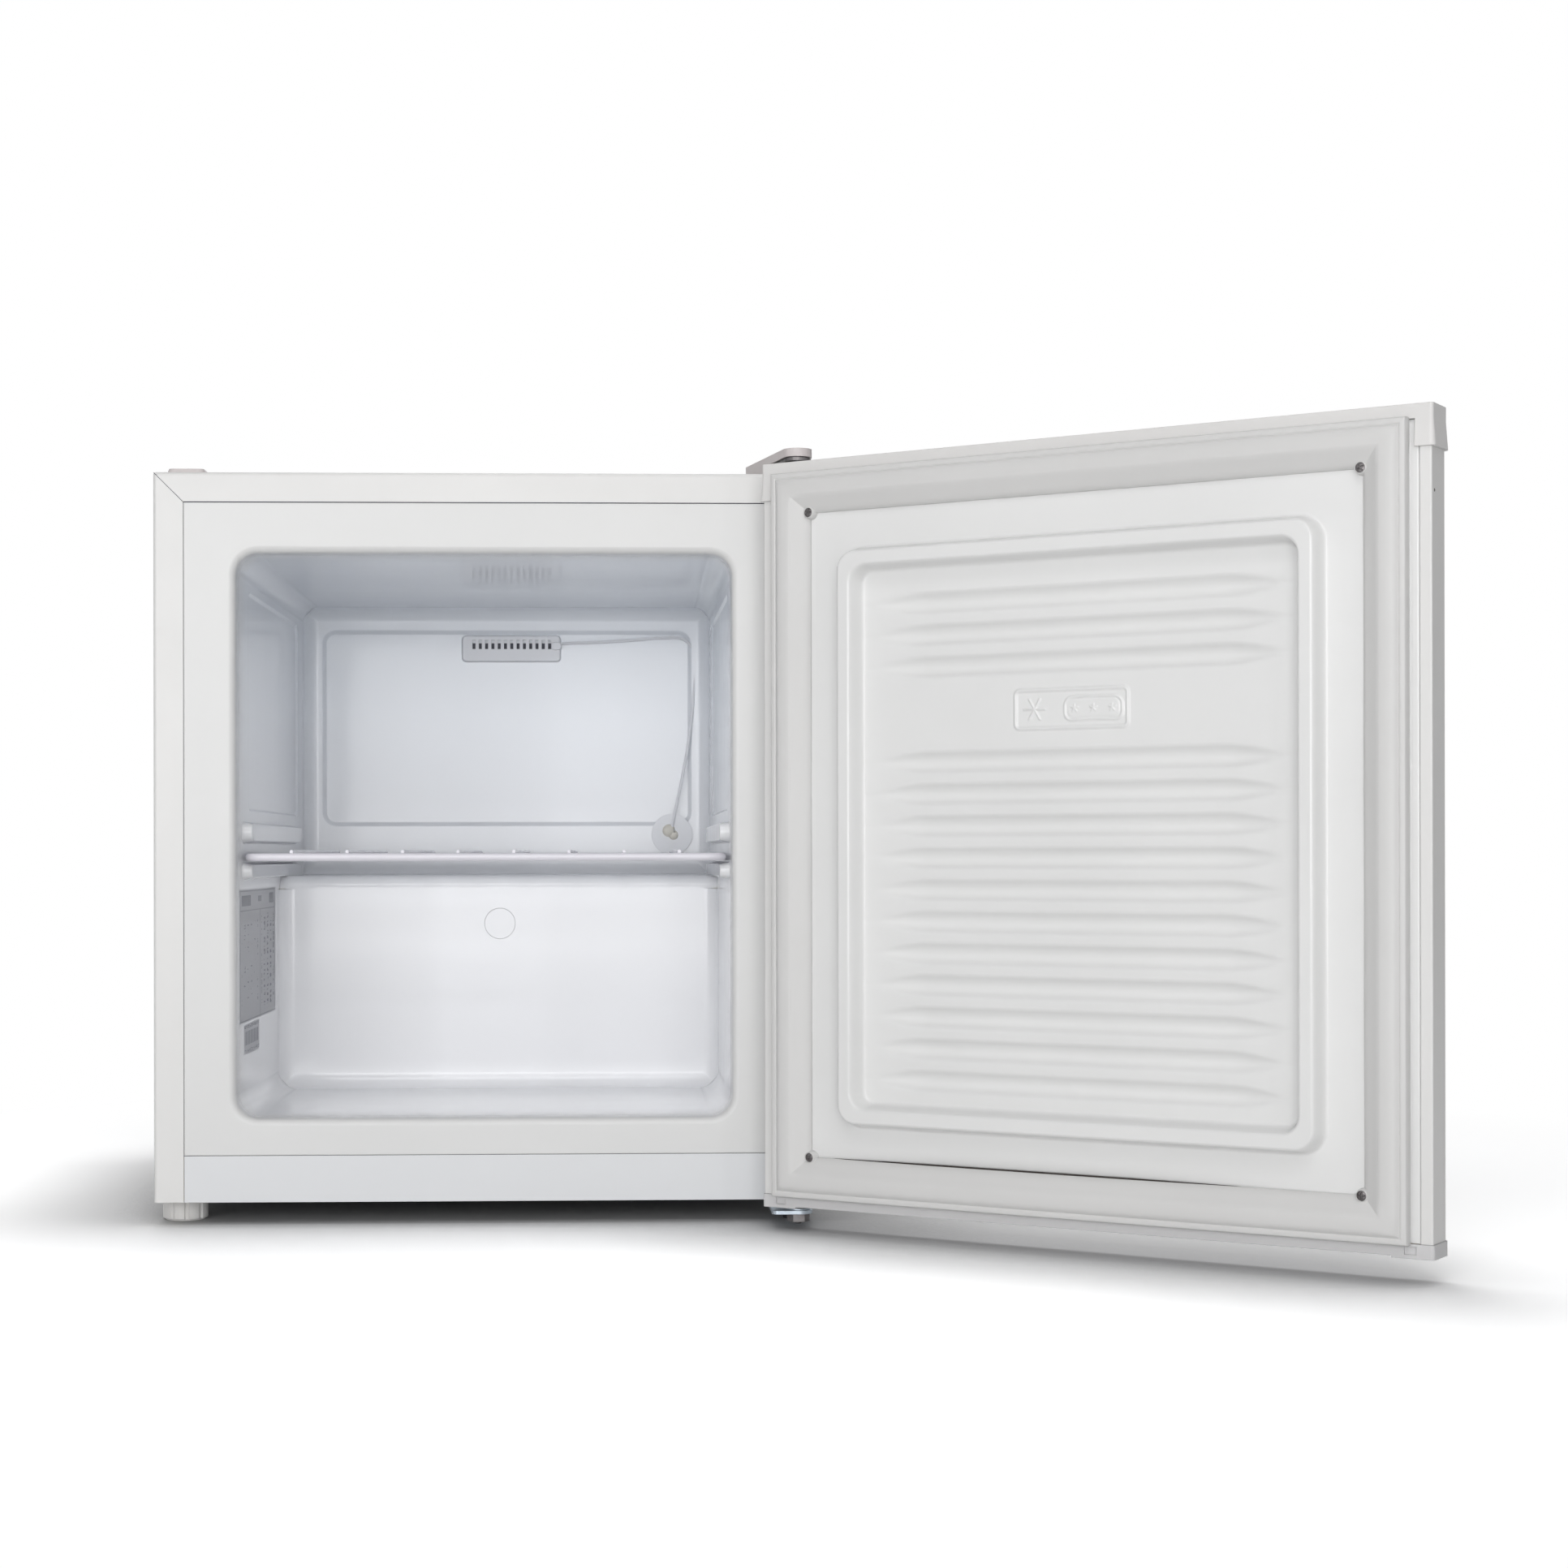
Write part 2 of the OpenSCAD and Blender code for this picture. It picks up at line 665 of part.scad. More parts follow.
module hinge_hole_cap() {
    placed() color("whitesmoke") translate([21, 22, cabinet_h])
        drafted(26, 34, 5, 1.2, 3);
}

// ---------------------------------------------------------------- inside the cavity

// Slotted cover over the thermostat's sensor on the back wall.
module sensor_cover() {
    w = 80.5;
    h = 22;
    t = 2.4;
    wall = 1;
    slot_w = 2.4;
    slot_h = 7.3;
    slot_pitch = 5.09;
    placed() color("gainsboro") difference() {
        union() {
            translate([sensor_x, recess_y - seat_gap, sensor_z]) rotate([90, 0, 0])
                drafted(w, h, 4, 1.2, t);
            translate([sensor_x + w / 2 - 4, recess_y - seat_gap, sensor_z + 2]) rotate([90, 0, 0])
                drafted(9, 7, 2.5, 0.8, t + 2.4);
        }
        translate([sensor_x, 0, sensor_z]) along_y(recess_y - t + wall, t) centred_card(w - 6, h - 6, 2);
        for (i = [0 : 12])
            translate([sensor_x - w / 2 + 8.9 + i * slot_pitch, 0, sensor_z - 0.3])
                along_y(recess_y - 2 * t, 3 * t) square([slot_w, slot_h]);
        translate([0, sensor_y, sensor_z + 2]) along_x(sensor_x + w / 2 - 9, 20) {
            circle(sensor_r + seat_gap);
            translate([0, -sensor_r]) square([3 * sensor_r, 2 * sensor_r]);
        }
    }
}

// Knees of the sensor tube, which leaves the sunk panel and ends in the putty on the grommet.
tube_y = cavity_d - seat_gap - grommet_t - sensor_r - seat_gap;
knees = [[cavity_x + recess_w / 2 - 9.5, sensor_y, grommet_z + 38],
    [grommet_x + 5.5, tube_y, grommet_z + 20], [grommet_x + 1.5, tube_y, grommet_z + 2]];

module sensor_tube() {
    z = sensor_z + 2;
    placed() color("lightgray") {
        bent([[sensor_x + 34, sensor_y, z], [knees[0][0], sensor_y, z], knees[0]], sensor_r, 6);
        for (i = [0, 1]) {
            translate(knees[i]) sphere(r = sensor_r + seat_gap / 2);
            stick(knees[i], knees[i + 1], sensor_r);
        }
    }
}

module tube_grommet() {
    placed() color("gainsboro") {
        translate([grommet_x, 0, grommet_z])
            along_y(cavity_d - seat_gap - grommet_t, grommet_t) circle(grommet_r);
        translate([grommet_x, 0, grommet_z])
            along_y(cavity_d - seat_gap - past, hub_len + past) circle(grommet_hub_r - seat_gap);
    }
}

// Lump of sealing putty where the tube enters its grommet.
module sealing_putty() {
    y = cavity_d - seat_gap - grommet_t;
    placed() color("wheat") difference() {
        intersection() {
            union() {
                translate([grommet_x - 2.6, y + 1, grommet_z + 3]) sphere(r = 5.2);
                translate([grommet_x + 1.2, y + 1, grommet_z - 0.5]) sphere(r = 4);
            }
            translate([grommet_x - 20, y - 20, grommet_z - 20]) cube([40, 20 - 0.02, 40]);
        }
        stick(knees[1], knees[2] - [0, 0, 0.2], sensor_r + seat_gap);
    }
}

// Wire shelf: a closed frame, a rail under the middle and cross wires that lie on both.
module wire_shelf() {
    r = frame_wire / 2;
    x0 = wall_side + shelf_side + r;
    x1 = cabinet_w - x0;
    y0 = shelf_y + r;
    y1 = shelf_y + shelf_d - r;
    count = floor((x1 - x0 - 2 * wire_pitch / 3) / wire_pitch);
    first = cabinet_w / 2 - count * wire_pitch / 2;
    top = shelf_z + r + cross_wire / 2 - 0.4;
    placed() color("white") {
        bent([[x0, y0, shelf_z], [x1, y0, shelf_z], [x1, y1, shelf_z], [x0, y1, shelf_z]],
            r, 9, closed = true);
        for (i = [0 : count]) {
            x = first + i * wire_pitch;
            stick([x, y0 - 0.6, top], [x, y1 + 0.6, top], cross_wire / 2);
        }
        stick([x0, (y0 + y1) / 2, shelf_z + 0.5], [x1, (y0 + y1) / 2, shelf_z + 0.5], r - 0.5);
    }
}

// Evaporator tube foamed in around the upper compartment.
module evaporator_route() {
    x0 = wall_side - liner_t - evap_r - panel_d - 2.5;
    x1 = cabinet_w - x0;
    y0 = 45;
    y1 = recess_y + liner_t + evap_r + 1.5;
    z0 = recess_z - recess_h / 2 + 8;
    loop = [for (i = [0 : evap_turns - 1]) each (i % 2 == 0
        ? [[x1, y0, z0 + i * evap_pitch], [x1, y1, z0 + i * evap_pitch],
            [x0, y1, z0 + i * evap_pitch], [x0, y0, z0 + i * evap_pitch]]
        : [[x0, y0, z0 + i * evap_pitch], [x0, y1, z0 + i * evap_pitch],
            [x1, y1, z0 + i * evap_pitch], [x1, y0, z0 + i * evap_pitch]])];
    bent(loop, evap_r, 14);
}

module evaporator_tube() {
    placed() color("silver") evaporator_route();
}

// ---------------------------------------------------------------- cooling unit

module compressor_deck() {
    x = sheet_t + seat_gap;
    y0 = comp_y - 56;
    y1 = cabinet_d - sheet_t - seat_gap - 2;
    rib = 10;
    t = deck_top - deck_z;
    placed() color("silver") difference() {
        along_x(x, cabinet_w - 2 * x)
            polygon([[y0, deck_z], [y1, deck_z], [y1, deck_z + rib], [y1 - t, deck_z + rib],
                [y1 - t, deck_top], [y0 + t, deck_top], [y0 + t, deck_z + rib], [y0, deck_z + rib]]);
        translate([earth_x, earth_y, 0]) cylinder(h = 10, r = 2.1);
    }
}

module compressor() {
    placed() color([0.12, 0.12, 0.13]) translate([comp_x, comp_y, comp_z]) {
        rotate_extrude() card(comp_r, comp_h, [0, shell_low_r, shell_top_r, 0]);
        translate([0, 0, seam_z]) cylinder(h = seam_h, r = comp_r + seam_out);
        for (s = ports) translate([0, s[1], port_z - comp_z])
            along_x(min(s[0], port_in * sign(s[0])), abs(s[0]) - port_in) circle(port_r);
    }
}

// Positions of the four compressor feet from its middle.
foot_holes = [for (sx = [-1, 1], sy = [-1, 1]) [sx * foot_x, sy * foot_y]];

module compressor_foot_plate() {
    placed() color([0.12, 0.12, 0.13]) translate([comp_x, comp_y, comp_foot_z]) difference() {
        linear_extrude(comp_foot_t)
            centred_card(2 * (foot_x + plate_side), 2 * (foot_y + plate_end), plate_r);
        for (p = foot_holes) translate([p[0], p[1], -past])
            cylinder(h = comp_foot_t + 2 * past, r = foot_hole_r);
    }
}

module compressor_grommets() {
    placed() color([0.1, 0.1, 0.1]) for (p = foot_holes)
        translate([comp_x + p[0], comp_y + p[1], deck_top]) rotate_extrude()
            polygon([[foot_hole_r, 0], [10, 0], [10, 4], [7.5, 5], [7.5, 7], [10, 8],
                [10, grommet_h], [foot_hole_r, grommet_h]]);
}

module compressor_bolts() {
    placed() color("silver") for (p = foot_holes)
        translate([comp_x + p[0], comp_y + p[1], deck_top]) {
            cylinder(h = grommet_h + comp_foot_t + 8, r = 3);
            translate([0, 0, grommet_h + comp_foot_t + seat_gap]) cylinder(h = 1.2, r = 7);
            translate([0, 0, grommet_h + comp_foot_t + seat_gap + 1.2]) hexagon_prism(10, 5);
        }
}

// Cover of the starting relay on the compressor's side.
module relay_box() {
    placed() color([0.15, 0.15, 0.16]) difference() {
        translate([comp_x + comp_r - 6, comp_y - relay_d / 2, comp_z + seam_z - 22])
            linear_extrude(relay_h) card(relay_w, relay_d, [0, 5, 5, 0]);
        translate([comp_x, comp_y, 0]) cylinder(h = bay_top, r = comp_r + seam_out + seat_gap);
    }
}

// The tube winds up the back in flat bends and comes down again on the right.
module condenser_tube() {
    runs = [for (i = [0 : cond_runs - 1]) each (i % 2 == 0
        ? [[cond_x0, cond_y, cond_z0 + i * condenser_pitch],
            [cond_x1, cond_y, cond_z0 + i * condenser_pitch]]
        : [[cond_x1, cond_y, cond_z0 + i * condenser_pitch],
            [cond_x0, cond_y, cond_z0 + i * condenser_pitch]])];
    bay = [[cond_x0, drier_y, drier_z + drier_h + 4], [cond_x0, drier_y, bay_top - 14],
        [cond_x0, cond_y, bay_top - 14]];
    down = [[cond_x0, cond_y, cond_top], [cond_down, cond_y, cond_top], [cond_down, cond_y, cond_low]];
    placed() color([0.12, 0.12, 0.12])
        bent(concat(bay, runs, down), condenser_tube_d / 2, cond_bend);
}

module condenser_wires() {
    pitch = 12;
    side = condenser_tube_d / 2 + wire_d / 2 + 0.05;
    count = floor((cond_x1 - cond_x0 - 60) / pitch);
    placed() color([0.12, 0.12, 0.12])
        for (i = [0 : count], dy = [-side, side])
            translate([cond_x0 + 30 + i * pitch, cond_y + dy, cond_z0 - 8])
                cylinder(h = cond_top - cond_z0 + 16, r = wire_d / 2, $fn = 24);
}

module condenser_clips() {
    y0 = cabinet_d - sheet_t - seat_gap;
    placed() color([0.2, 0.2, 0.2]) difference() {
        for (x = [cond_x0 + 14, cond_x1 - 24], k = [1, cond_runs - 1])
            translate([x, 0, cond_z0 + k * condenser_pitch]) along_x(0, 9)
                translate([y0, -6]) card(cond_y - y0 + clip_out, 12, [0, 3, 3, 0]);
        for (k = [1, cond_runs - 1])
            stick([cond_x0, cond_y, cond_z0 + k * condenser_pitch],
                [cond_x1, cond_y, cond_z0 + k * condenser_pitch], condenser_tube_d / 2 + 0.05);
    }
}

// From the compressor to the condenser's down-pipe on the right.
module discharge_tube() {
    y = comp_y + ports[0][1];
    placed() color("peru")
        bent([[comp_x + ports[0][0] + seat_gap, y, port_z], [cond_down, y, port_z],
            [cond_down, cond_y, port_z], [cond_down, cond_y, cond_low - seat_gap]], 2.4, 6);
}

// From the evaporator back to the compressor.
module suction_tube() {
    y = comp_y + ports[1][1];
    x = suction_x;
    placed() color("peru")
        bent([[comp_x + ports[1][0] - seat_gap, y, port_z], [x, y, port_z], [x, y, bay_top - 22],
            [x, pipe_y, bay_top - 22], [x, pipe_y, pipe_top - seat_gap]], 3, 8);
}

// Drier in the line from the condenser to the capillary.
module filter_drier() {
    placed() color("peru") translate([cond_x0, drier_y, drier_z]) {
        cylinder(h = drier_cone - 5, r = condenser_tube_d / 2);
        translate([0, 0, drier_cone - 6]) cylinder(h = 6, r1 = 3, r2 = drier_r);
        translate([0, 0, drier_cone]) cylinder(h = drier_h - 2 * drier_cone, r = drier_r);
        translate([0, 0, drier_h - drier_cone]) cylinder(h = 8, r1 = drier_r, r2 = 3);
        translate([0, 0, drier_h - 6]) cylinder(h = 10 - seat_gap, r = condenser_tube_d / 2);
    }
}

module capillary_tube() {
    y = drier_y - capillary_in;
    x = cond_x0 - capillary_side;
    low = drier_z - capillary_low;
    high = bay_top - capillary_under;
    placed() color("peru")
        bent([[cond_x0, drier_y, drier_z - seat_gap], [cond_x0, drier_y, low], [cond_x0, y, low],
            [x, y, low], [x, y, high], [capillary_x, y, high],
            [capillary_x, pipe_y, high], [capillary_x, pipe_y, pipe_top - seat_gap]], 1.1, 5);
}

// ---------------------------------------------------------------- controls at the back

module thermostat_box() {
    placed() color([0.85, 0.85, 0.84]) difference() {
        translate([box_x, 0, bay_top - seat_gap - box_h]) along_y(box_y, box_d)
            card(box_w, box_h, [5, 5, 0, 0]);
        translate([knob_x, 0, knob_z]) along_y(box_y + 10, box_d) circle(shaft_r + pin_play);
        translate([gland_x, 0, knob_z]) along_y(box_y + 10, box_d) circle(6);
    }
}

// Control knob with a fluted grip and its shaft.
module thermostat_knob() {
    y = box_y + box_d + fit_gap;
    placed() color([0.9, 0.9, 0.9]) translate([knob_x, 0, knob_z]) {
        along_y(y, 3) circle(16);
        along_y(y + 3 - 0.5, 9) difference() {
            circle(12);
            for (i = [0 : 11]) rotate([0, 0, i * 30 + 15]) translate([12.6, 0]) circle(1.6);
        }
        along_y(box_y + 12, box_d - 11) circle(shaft_r);
    }
}

// Moulded inlet for the mains lead.
module cable_gland() {
    y = box_y + box_d;
    placed() color([0.1, 0.1, 0.1]) translate([gland_x, 0, knob_z]) difference() {
        union() {
            along_y(y - 8, 8.2) circle(5.9);
            along_y(y + seat_gap, 4) circle(9);
        }
        along_y(y - 9, 16) circle(3.6);
    }
}

module earth_screw() {
    placed() color("gold") translate([earth_x, earth_y, deck_top + seat_gap]) {
        translate([0, 0, -4]) cylinder(h = 4.5, r = 2);
        cylinder(h = 1, r = 5.5);
        translate([0, 0, 1]) cylinder(h = 2.6, r1 = 4.2, r2 = 3);
    }
}

// ---------------------------------------------------------------- feet

// Screw foot with a fluted grip, turned by hand from the front.
module front_foot_left() {
    placed() color("whitesmoke") translate([foot_left[0], foot_left[1], -foot_h]) difference() {
        union() {
            cylinder(h = 1.2, r1 = foot_r - 2, r2 = foot_r - 0.8);
            translate([0, 0, 1.2]) linear_extrude(foot_h - 2) difference() {
                circle(foot_r);
                for (i = [0 : foot_flutes - 1]) rotate(i * 360 / foot_flutes + 2)
                    translate([foot_r + 0.5, 0]) circle(flute_r);
            }
        }
        translate([0, 0, 4]) cylinder(h = foot_h, r = stud_d / 2);
    }
}

module stud(p) {
    placed() color("silver") translate([p[0], p[1], 4 - foot_h])
        cylinder(h = foot_h - 4 + insert_top - 4, r = stud_d / 2);
}

module foot_stud_left() {
    stud(foot_left);
}

module front_foot_right() {
    h = foot_h - bracket_t - 2 * fit_gap;
    placed() color([0.2, 0.2, 0.22]) translate([foot_right[0], foot_right[1], -foot_h]) difference() {
        union() {
            cylinder(h = h - 3, r1 = small_foot_r - 2.6, r2 = small_foot_r);
            translate([0, 0, h - 3]) cylinder(h = 3, r = small_foot_r);
        }
        translate([0, 0, 4]) cylinder(h = foot_h, r = stud_d / 2);
    }
}

module foot_stud_right() {
    stud(foot_right);
}

// Threaded inserts in the base, one above each screw foot.
module foot_inserts() {
    z = 2 * sheet_t + 2 * seat_gap;
    placed() color("dimgray") for (p = [foot_left, foot_right])
        translate([p[0], p[1], z]) difference() {
            cylinder(h = insert_top - z - seat_gap, r = insert_r - 0.05);
            translate([0, 0, -past]) cylinder(h = insert_top, r = stud_d / 2 + pin_play);
        }
}

module rear_feet() {
    placed() color([0.2, 0.2, 0.22]) for (x = [rear_foot_in, cabinet_w - rear_foot_in])
        translate([x, rear_foot_y, -foot_h]) {
            cylinder(h = 1, r1 = rear_foot_r - 1, r2 = rear_foot_r);
            translate([0, 0, 1]) cylinder(h = foot_h + deck_z - 1 - seat_gap, r = rear_foot_r);
        }
}

// ---------------------------------------------------------------- hinges

// Plan outline of the upper hinge: a nose around the axis that widens over the cabinet.
module hinge_plan(r, side, right, back) {
    p = [-side, back - hinge_y];
    d = norm(p);
    edge = r - blend;
    a = atan2(p[1], p[0]) + acos(edge / d);
    front = 4 - hinge_y;
    translate([hinge_x, hinge_y]) {
        circle(r);
        polygon([[edge, 0], [edge, front], [right, front], [right, p[1]], p, edge * [cos(a), sin(a)]]);
    }
}

module upper_hinge_bracket() {
    z = cabinet_h + seat_gap;
    fold = 5;
    placed() color("silver") difference() {
        intersection() {
            translate([0, 0, z - past]) linear_extrude(20)
                hinge_plan(nose_cover_r - 1.4, cover_side - 4, cover_right - 3, cover_back - 3);
            along_x(0, cabinet_w)
                polygon([[hinge_y - 20, arm_z], [fold, arm_z], [fold, z], [cover_back, z],
                    [cover_back, z + bracket_t], [fold + bracket_t, z + bracket_t],
                    [fold + bracket_t, arm_z + bracket_t], [hinge_y - 20, arm_z + bracket_t]]);
        }
        translate([hinge_x, hinge_y, 0]) cylinder(h = cabinet_h + 50, r = upper_pin_d / 2);
        for (s = upper_screws) translate([s[0], s[1], cabinet_h]) cylinder(h = 20, r = 2.2);
    }
}

module upper_hinge_pin() {
    placed() color("silver") translate([hinge_x, hinge_y, 0]) {
        translate([0, 0, door_top - 12]) cylinder(h = arm_z + bracket_t - door_top + 12, r = upper_pin_d / 2);
        translate([0, 0, arm_z + bracket_t])
            cylinder(h = 1.4, r1 = upper_pin_d / 2 + 2, r2 = upper_pin_d / 2 + 1);
    }
}

module upper_hinge_screws() {
    z = cabinet_h + seat_gap + bracket_t;
    placed() color("silver") for (s = upper_screws)
        translate([s[0], s[1], z]) {
            cylinder(h = 2.2, r1 = 4.2, r2 = 2.8);
            translate([0, 0, -bracket_t]) cylinder(h = bracket_t, r = 2.15);
        }
}

// Moulded cover over the upper hinge, open below.
module hinge_cover() {
    wall = 1.4;
    low = arm_z + bracket_t + fit_gap;
    placed() color("whitesmoke") difference() {
        translate([0, 0, cabinet_h + seat_gap]) linear_extrude(cover_top - cabinet_h - seat_gap)
            hinge_plan(nose_cover_r, cover_side, cover_right, cover_back);
        translate([0, 0, cabinet_h - past]) linear_extrude(cover_top - cabinet_h - wall + past)
            hinge_plan(nose_cover_r - wall, cover_side - wall - 0.6, cover_right - wall, cover_back - wall);
        translate([hinge_x - 60, hinge_y - 60, cabinet_h - past])
            cube([120, 60 - hinge_y - 0.4, low - cabinet_h + past]);
    }
}

module lower_hinge_bracket() {
    rear = -seat_gap;
    fold = -5;
    left = hinge_x - lower_left;
    right = cabinet_w - lower_in;
    nose = lower_nose;
    back = cover_back + 0.9;
    placed() color("silver") difference() {
        intersection() {
            translate([0, 0, -20]) linear_extrude(30) translate([left, hinge_y - nose])
                card(right - left, back - hinge_y + nose, [4, right - hinge_x - 0.5, 4, 4]);
            along_x(0, cabinet_w)
                polygon([[hinge_y - 20, lower_arm_top], [fold, lower_arm_top], [fold, rear],
                    [back + 20, rear], [back + 20, rear - bracket_t],
                    [fold + bracket_t, rear - bracket_t], [fold + bracket_t, lower_arm_top - bracket_t],
                    [hinge_y - 20, lower_arm_top - bracket_t]]);
        }
        translate([hinge_x, hinge_y, -30]) cylinder(h = 60, r = lower_pin_d / 2);
        translate([foot_right[0], foot_right[1], -30]) cylinder(h = 60, r = stud_d / 2 + past);
        for (s = lower_screws) translate([s[0], s[1], -30]) cylinder(h = 60, r = 2.2);
    }
}

// Lower pin: a hexagon-headed bolt that the door turns on.
module lower_hinge_pin() {
    z = lower_arm_top - bracket_t;
    placed() color("silver") translate([hinge_x, hinge_y, 0]) {
        translate([0, 0, z]) cylinder(h = door_z + 13 - z, r = lower_pin_d / 2);
        translate([0, 0, z - 5.4]) hexagon_prism(13, 5.4);
        translate([0, 0, z - 7]) cylinder(h = 1.6, r1 = 2, r2 = 2.6);
    }
}

module lower_hinge_screws() {
    z = -seat_gap - bracket_t;
    placed() color("silver") for (s = lower_screws)
        translate([s[0], s[1], z]) {
            translate([0, 0, -2.2]) cylinder(h = 2.2, r1 = 2.8, r2 = 4.2);
            cylinder(h = bracket_t, r = 2.15);
        }
}

module hinge_washer() {
    placed() color("silver") translate([hinge_x, hinge_y, lower_arm_top + 0.05]) difference() {
        cylinder(h = 0.9, r = 7.5);
        translate([0, 0, -past]) cylinder(h = 4, r = lower_pin_d / 2 + 0.1);
    }
}

// ---------------------------------------------------------------- door

// Plan outline of the door moved out by e.
module door_plan(e) {
    r = door_r + e;
    back_r = 1 + max(e, -0.5);
    translate([door_x - e, door_front - e])
        card(door_w + 2 * e, door_t + 2 * e, [r, r, back_r, back_r]);
}

module door_skin() {
    z0 = door_z + cap_h + seat_gap;
    z1 = door_top - cap_h - seat_gap;
    on_door() color("gainsboro") translate([0, 0, z0]) linear_extrude(z1 - z0) difference() {
        door_plan(0);
        door_plan(-sheet_t);
        translate([door_x + strip_w, door_front + door_t / 2]) square([door_w - 2 * strip_w, door_t]);
    }
}

// Ears over the upright edges, which stand out further towards their tips.
module ears(h) {
    front_r = door_r + ear_t;
    back_r = 1 + ear_t;
    x0 = door_x - ear_t;
    x1 = door_x + door_w + ear_t;
    y0 = door_front - ear_t;
    y1 = door_inner + ear_t;
    f = ear_flare;
    difference() {
        union() {
            for (x = [x0 + front_r, x1 - front_r]) translate([x, y0 + front_r, 0])
                cylinder(h = h, r1 = front_r, r2 = front_r + f);
            for (x = [x0 + back_r, x1 - back_r]) translate([x, y1 - back_r, 0])
                cylinder(h = h, r1 = back_r, r2 = back_r + f);
            along_y(y0 + front_r, y1 - back_r - y0 - front_r)
                polygon([[x0, 0], [x1, 0], [x1 + f, h], [x0 - f, h]]);
            along_x(x0 + front_r, x1 - x0 - 2 * front_r)
                polygon([[y0, 0], [y1, 0], [y1 + f, h], [y0 - f, h]]);
            along_x(x0 + back_r, x1 - x0 - 2 * back_r)
                polygon([[y1 - 3, 0], [y1, 0], [y1 + f, h], [y1 - 3, h]]);
        }
        translate([0, 0, -past]) linear_extrude(h + 2 * past) door_plan(seat_gap);
        translate([door_x + ear_w, y0 - 5, -past]) cube([door_w - 2 * ear_w, door_t + 20, h + 2 * past]);
    }
}

// End cap standing on its outer face, a shallow tray.
module door_cap() {
    difference() {
        linear_extrude(cap_h) door_plan(ear_t);
        translate([0, 0, 2]) linear_extrude(cap_h) door_plan(-1.6);
        translate([hinge_x, hinge_y, -past]) cylinder(h = 10, r = bush_r + 0.05);
        translate([spare_x, hinge_y, -past]) cylinder(h = 10, r = plug_r);
    }
}

// Its underside is set back between the corners, and a small pocket lies beside each corner.
module door_bottom_cap() {
    corner = 24;
    set_back = 1.2;
    pocket_w = 7;
    pocket_h = 4.6;
    pocket_z = 2.4;
    pocket_d = 0.9;
    on_door() color("whitesmoke") translate([0, 0, door_z]) difference() {
        door_cap();
        translate([door_x + corner, door_front - 5, -past])
            cube([door_w - 2 * corner, door_t + 10, set_back + past]);
        for (x = [door_x + ear_w, door_x + door_w - ear_w - pocket_w])
            translate([x, door_inner + ear_t - pocket_d, pocket_z]) cube([pocket_w, 5, pocket_h]);
    }
}

module door_top_cap() {
    on_door() color("whitesmoke") translate([0, 0, door_top]) mirror([0, 0, 1]) {
        door_cap();
        translate([0, 0, cap_h]) ears(ear_h - cap_h);
    }
}

// Raised ring of the door liner as a solid; o makes it smaller all round.
module ring_form(o) {
    low = -0.5 - o;
    rise = ring_h - o - low;
    out = ring_draft / ring_h;
    in = well_draft / ring_h;
    well_w = ring_w - 2 * (ring_draft + crest_w + well_draft);
    well_high = ring_high - 2 * (ring_draft + crest_w + well_draft);
    w = ring_w - 2 * o - 2 * out * low;
    high = ring_high - 2 * o - 2 * out * low;
    facing_back(part_x, liner_face + low, ring_z) difference() {
        drafted(w, high, ring_r - o - out * low, out * rise, rise);
        translate([0, 0, rise + past]) mirror([0, 0, 1]) {
            top = ring_h - o + past;
            drafted(well_w + 2 * o + 2 * in * top, well_high + 2 * o + 2 * in * top,
                well_r + o + in * top, in * (rise + 2 * past), rise + 2 * past);
        }
    }
}

// Spindles that cut the grooves; r is their radius, reached behind their tapered ends.
module spindles(r) {
    taper = 30;
    y = liner_face + spindle_out;
    middle = groove_len - 2 * taper;
    for (k = groove_rows) translate([part_x, y, groove_top - k * groove_pitch]) rotate([0, 90, 0]) {
        translate([0, 0, -middle / 2]) cylinder(h = middle, r = r);
        translate([0, 0, middle / 2]) cylinder(h = taper, r1 = r, r2 = r - 3);
        translate([0, 0, -middle / 2 - taper]) cylinder(h = taper, r1 = r - 3, r2 = r);
    }
}

// Hollows behind the liner's raised face and its ring; the door's foam fills them.
module liner_hollows() {
    translate([0, 0, part_z]) along_y(liner_back - past, liner_face - liner_t - liner_back + past)
        translate([part_x, 0])
            centred_card(seal_out_w + 1 - 2 * liner_t, door_h - 2 * (cap_h + fit_gap + liner_t), 2);
    ring_form(liner_t);
}

// Backs of the grooves, which reach into the foam.
module groove_backs() {
    deep = spindle_r - spindle_out;
    intersection() {
        spindles(spindle_r + liner_t);
        translate([0, liner_face - liner_t - deep, 0])
            cube([cabinet_w, deep + liner_t / 2, cabinet_h]);
    }
}

module door_liner() {
    x = door_x + strip_w + 0.4;
    z = door_z + cap_h + fit_gap;
    on_door() color("whitesmoke") difference() {
        union() {
            difference() {
                union() {
                    translate([x, liner_back, z]) cube([door_w - 2 * strip_w - 0.8, liner_t,
                        door_h - 2 * cap_h - 2 * fit_gap]);
                    translate([part_x, 0, part_z]) along_y(liner_back, liner_face - liner_back)
                        centred_card(seal_out_w + 1, door_h - 2 * (cap_h + fit_gap), 3);
                    ring_form(0);
                }
                liner_hollows();
            }
            groove_backs();
        }
        spindles(spindle_r);
        for (p = liner_screw_spots) translate([p[0], 0, p[1]]) along_y(liner_back - past, 10) circle(1.6);
    }
}

